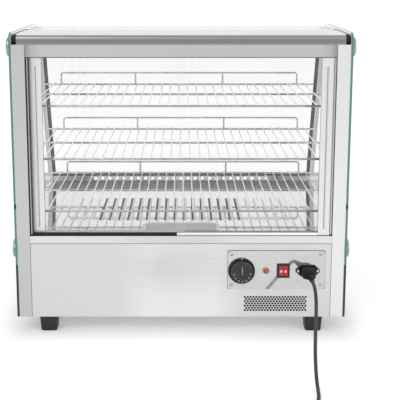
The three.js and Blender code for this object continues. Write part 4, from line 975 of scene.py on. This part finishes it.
doorTrim = {
    "groove": (2.7, 225.2, 560.4),  # its half width, and its height from and to
    "lip": (213.6, 579.8, 1.2, 1.45),  # height and depth, each from and to
    "sides": {"left": (-295.3, (18.4, 18.9), (-309.8, -308.0)), "right": (295.3, (5.0, 5.5), (308.0, 311.2))},
}
for word, (middle, depths, ends) in doorTrim["sides"].items():
    groove = prism(capsule(middle, *doorTrim["groove"]), 1, depths)
    # painted shade: a light strip over each groove's floor, with a dark line down its middle
    makePiece("groove_shade_" + word, groove, "grooveShade", body="door_" + word)
    makePiece("jamb_lip_" + word, boxShell(*ends, *doorTrim["lip"]), "jambLip")


# Polished foot rail of the bent glass, glowing dots on it as painted glints, and a painted reflection strip
# before it

foot = {
    "ends": (-336, 336), "rail": [(478.0, 206.0), (482.8, 219.0), (483.4, 219.0), (483.4, 206.0)],
    "dots": 25, "pitch": 18.7, "dot": 4.0, "dome": 2.6, "turns": (0, 0.4, 0.8, 1.2, 1.5),
    "base": (0, 481.3, 212.5),
    "strip": [(-331, 398), (331, 398), (331, 470), (-331, 470)], "stripHeight": (205.03, 205.4),
}
makePiece("glass_foot_rail", prism(foot["rail"], 0, foot["ends"]), "footSteel")
# painted reflection: a dark strip where the polished floor mirrors the dark band at the bent glass's foot
makePiece("floor_rear_strip", prism(foot["strip"], 2, foot["stripHeight"]), "stripSteel")


def dotShells():
    # flat domes that glow as painted glints: the radius is a cosine and the rise a sine
    turn = np.array(foot["turns"])
    profile = np.vstack([circle(turn) * (foot["dot"], -foot["dome"]), (pole, -foot["dome"])])
    return together([turned(profile, 16, np.add(foot["base"], (x, 0, 0)))
                     for x in evenly(foot["dots"], foot["pitch"])])


makePiece("foot_rail_dots", dotShells(), "dotSilicone")


# Louvres in the floor below the lower shelf

louvre = {
    "count": 24, "pitch": 20.6, "rows": ((208, 316), (128, 198)), "floor": 205.02,
    "half": 2.6, "rise": 2.4, "slot": 2.2, "slotTop": 205.3, "slotInset": 3, "lap": 0.1,
    "open": (3, 19),  # the louvres between these show their slot
}


def louvreShells():
    # a pressed hood beside each slot: a half ellipse across, whose size falls to nothing at its ends as the
    # root of one less a sixth power
    t = np.linspace(0, 1, 13)[:, None]
    size = np.sqrt(np.clip(1 - (2 * t - 1) ** 6, 0.002, 1))
    turn = np.linspace(0, np.pi, 9)
    hoods, slots = [], []
    for k, x in enumerate(evenly(louvre["count"], louvre["pitch"])):
        for low, high in louvre["rows"]:
            wide = x + louvre["half"] * size * np.cos(turn)
            rise = louvre["floor"] + louvre["rise"] * size * np.sin(turn)
            along = np.broadcast_to(between(low, high, t), wide.shape)
            hoods.append(closedShell(np.stack([wide, along, rise], -1)))
            # painted shade: each open louvre's slot is a flat dark capsule lying on the floor
            if louvre["open"][0] <= k < louvre["open"][1]:
                outline = capsule(x - louvre["half"] - louvre["slot"] + louvre["lap"], louvre["slot"],
                                  low + louvre["slotInset"], high - louvre["slotInset"])
                slots.append(prism(outline, 2, (louvre["floor"], louvre["slotTop"])))
    return together(hoods), together(slots)


hoods, slots = louvreShells()
makePiece("floor_louvres", hoods, "louvreSteel")
# painted shade of the louvres' slots
makePiece("floor_slots", slots, "jamb")


# The strip that rounds the step below the nose, and the lamps' chips

noseTrim = {
    "outline": [(0.0, 616.5), (0.0, 607.15), (6.0, 607.15), (3.0, 609.6), (0.9, 612.6)], "ends": (-329, 329),
}
makePiece("nose_trim", prism(noseTrim["outline"], 0, noseTrim["ends"]), "noseSteel")

chip = {"count": 31, "pitch": 18.7, "size": 2.5, "corner": 0.5, "depth": 38.9, "heights": (603.6, 602.9)}


def chipShell():
    ring = roundedRing(chip["size"], chip["size"], chip["corner"], 3)
    return together([prism(ring + (x, chip["depth"]), 2, chip["heights"])
                     for x in evenly(chip["count"], chip["pitch"])])


makePiece("lamp_chips", chipShell(), "chip")
print("joints, vent, trim, louvres and chips made")


# Floor, light and the rest of the stage

light = {
    "ambient": 0.62,  # how bright the white room is for matt surfaces
    "floorTone": "#f4f4f4", "floorLift": 0.46,
    "shadowLift": 0.24, "shadowReach": 0.085,  # the paper is lifted less so near the case, in metres
    "footprint": (0.33, 0.25, 0),  # half the case's width and depth
    "floorHalf": 30,
    "aim": (0, 0, 0.3), "key": ((-1.9, -2.6, 2.9), 2.4, 30.0),  # place, side of the square and watts
    "fill": ((2.6, -2.2, 2.0), 2.0, 14.0),
}


def seenOrMirrored(add):
    # 1 for what the camera sees, straight or through metal and glass
    path = add("LightPath").outputs
    first = add("Math", {"operation": "MAXIMUM"}, {0: path["Is Camera Ray"], 1: path["Is Glossy Ray"]})
    return add("Math", {"operation": "MAXIMUM"}, {0: first, 1: path["Is Transmission Ray"]})


def makeRoom():
    # the camera and mirrors see it white, and matt surfaces less bright
    world = bpy.data.worlds.new("studio")
    bpy.context.scene.world = world
    add = clearTree(world)
    room = add("Background", {"Color": linear(1.0), "Strength": light["ambient"]})
    white = add("Background", {"Color": linear(1.0), "Strength": 1.0})
    add("OutputWorld", None, {"Surface": add("MixShader", None, {0: seenOrMirrored(add), 1: room, 2: white})})


def makeFloor():
    # white paper that shows its shadow: what the camera sees of it is lifted to white, and less beside the
    # case by the distance from the case's footprint, a painted shadow round the case besides its real one
    material, add, place = startFinish("white studio paper")
    paper = add("BsdfDiffuse", {"Color": linear(light["floorTone"])})
    folded = add("VectorMath", {"operation": "ABSOLUTE"}, {0: place})
    outside = add("VectorMath", {"operation": "SUBTRACT", 1: light["footprint"]}, {0: folded})
    beyond = add("VectorMath", {"operation": "MAXIMUM", 1: (0, 0, 0)}, {0: outside})
    away = add("VectorMath", {"operation": "LENGTH"}, {0: beyond}).outputs["Value"]
    share = add("MapRange", {
        "interpolation_type": "SMOOTHSTEP", "From Max": light["shadowReach"],
        "To Min": light["shadowLift"], "To Max": light["floorLift"]}, {"Value": away})
    lift = add("Math", {"operation": "MULTIPLY"}, {0: seenOrMirrored(add), 1: share})
    glow = add("Emission", {"Color": linear(1.0)}, {"Strength": lift})
    add("OutputMaterial", None, {"Surface": add("AddShader", None, {0: paper, 1: glow})})
    mesh = bpy.data.meshes.new("studio_floor")
    corners = [(x, y, 0) for x, y in light["floorHalf"] * np.array([(-1, -1), (1, -1), (1, 1), (-1, 1)])]
    mesh.from_pydata(corners, [], [(0, 1, 2, 3)])
    mesh.materials.append(material)
    addObject("studio_floor", mesh)


def makeLamp(name, place, size, watts):
    # a large square lamp, turned from straight down to its aim
    data = bpy.data.lights.new(name, "AREA")
    data.shape = "SQUARE"
    data.size = size
    data.energy = watts
    x, y, z = np.array(light["aim"]) - place
    hung = addObject(name, data)
    hung.location = place
    hung.rotation_euler = (math.atan2(math.hypot(x, y), -z), 0, math.atan2(y, x) - math.pi / 2)


makeRoom()
makeFloor()
makeLamp("key_lamp", *light["key"])
makeLamp("fill_lamp", *light["fill"])
bpy.context.scene.view_settings.view_transform = "Standard"
print("stage and lamps made")


# Finishes of the pieces that stay as they are packed

packedPieces = {
    "servicePanelSteel": "service_panel",
    "panelSteel": "base_*",
    "postSteel": "post_left arm_*",
    "farPostSteel": "post_right",
    "railSteel": "header_rail",
    "sillSteel": "sill_rail",
    "noseSteel": "top_panel",
    "mirrorSteel": "cavity_floor",
    "panSteel": "water_pan",
    "plateSteel": "control_plate",
    "cap": "clamp_cap_*",
    "stileAluminium": "door_right_stile",
    "leftStileAluminium": "door_left_stile",
    "railAluminium": "door_*_rail lamp_bar",
    "sideGlass": "side_glass_*",
    "bentGlass": "curved_glass",
    "doorGlass": "door_*_glass",
    "seal": "glass_gasket",
    "jamb": "jamb_*",
    "trackPlastic": "*_track",
    "darkPlastic": "top_plug_* power_inlet",
    "blackPlastic": "thermostat switch_frame foot_*",
}
for finish, patterns in packedPieces.items():
    for pattern in patterns.split():
        for name in fnmatch.filter(nodes, pattern):
            nodes[name].data.materials.clear()
            nodes[name].data.materials.append(finishes[finish])
print("packed pieces finished")
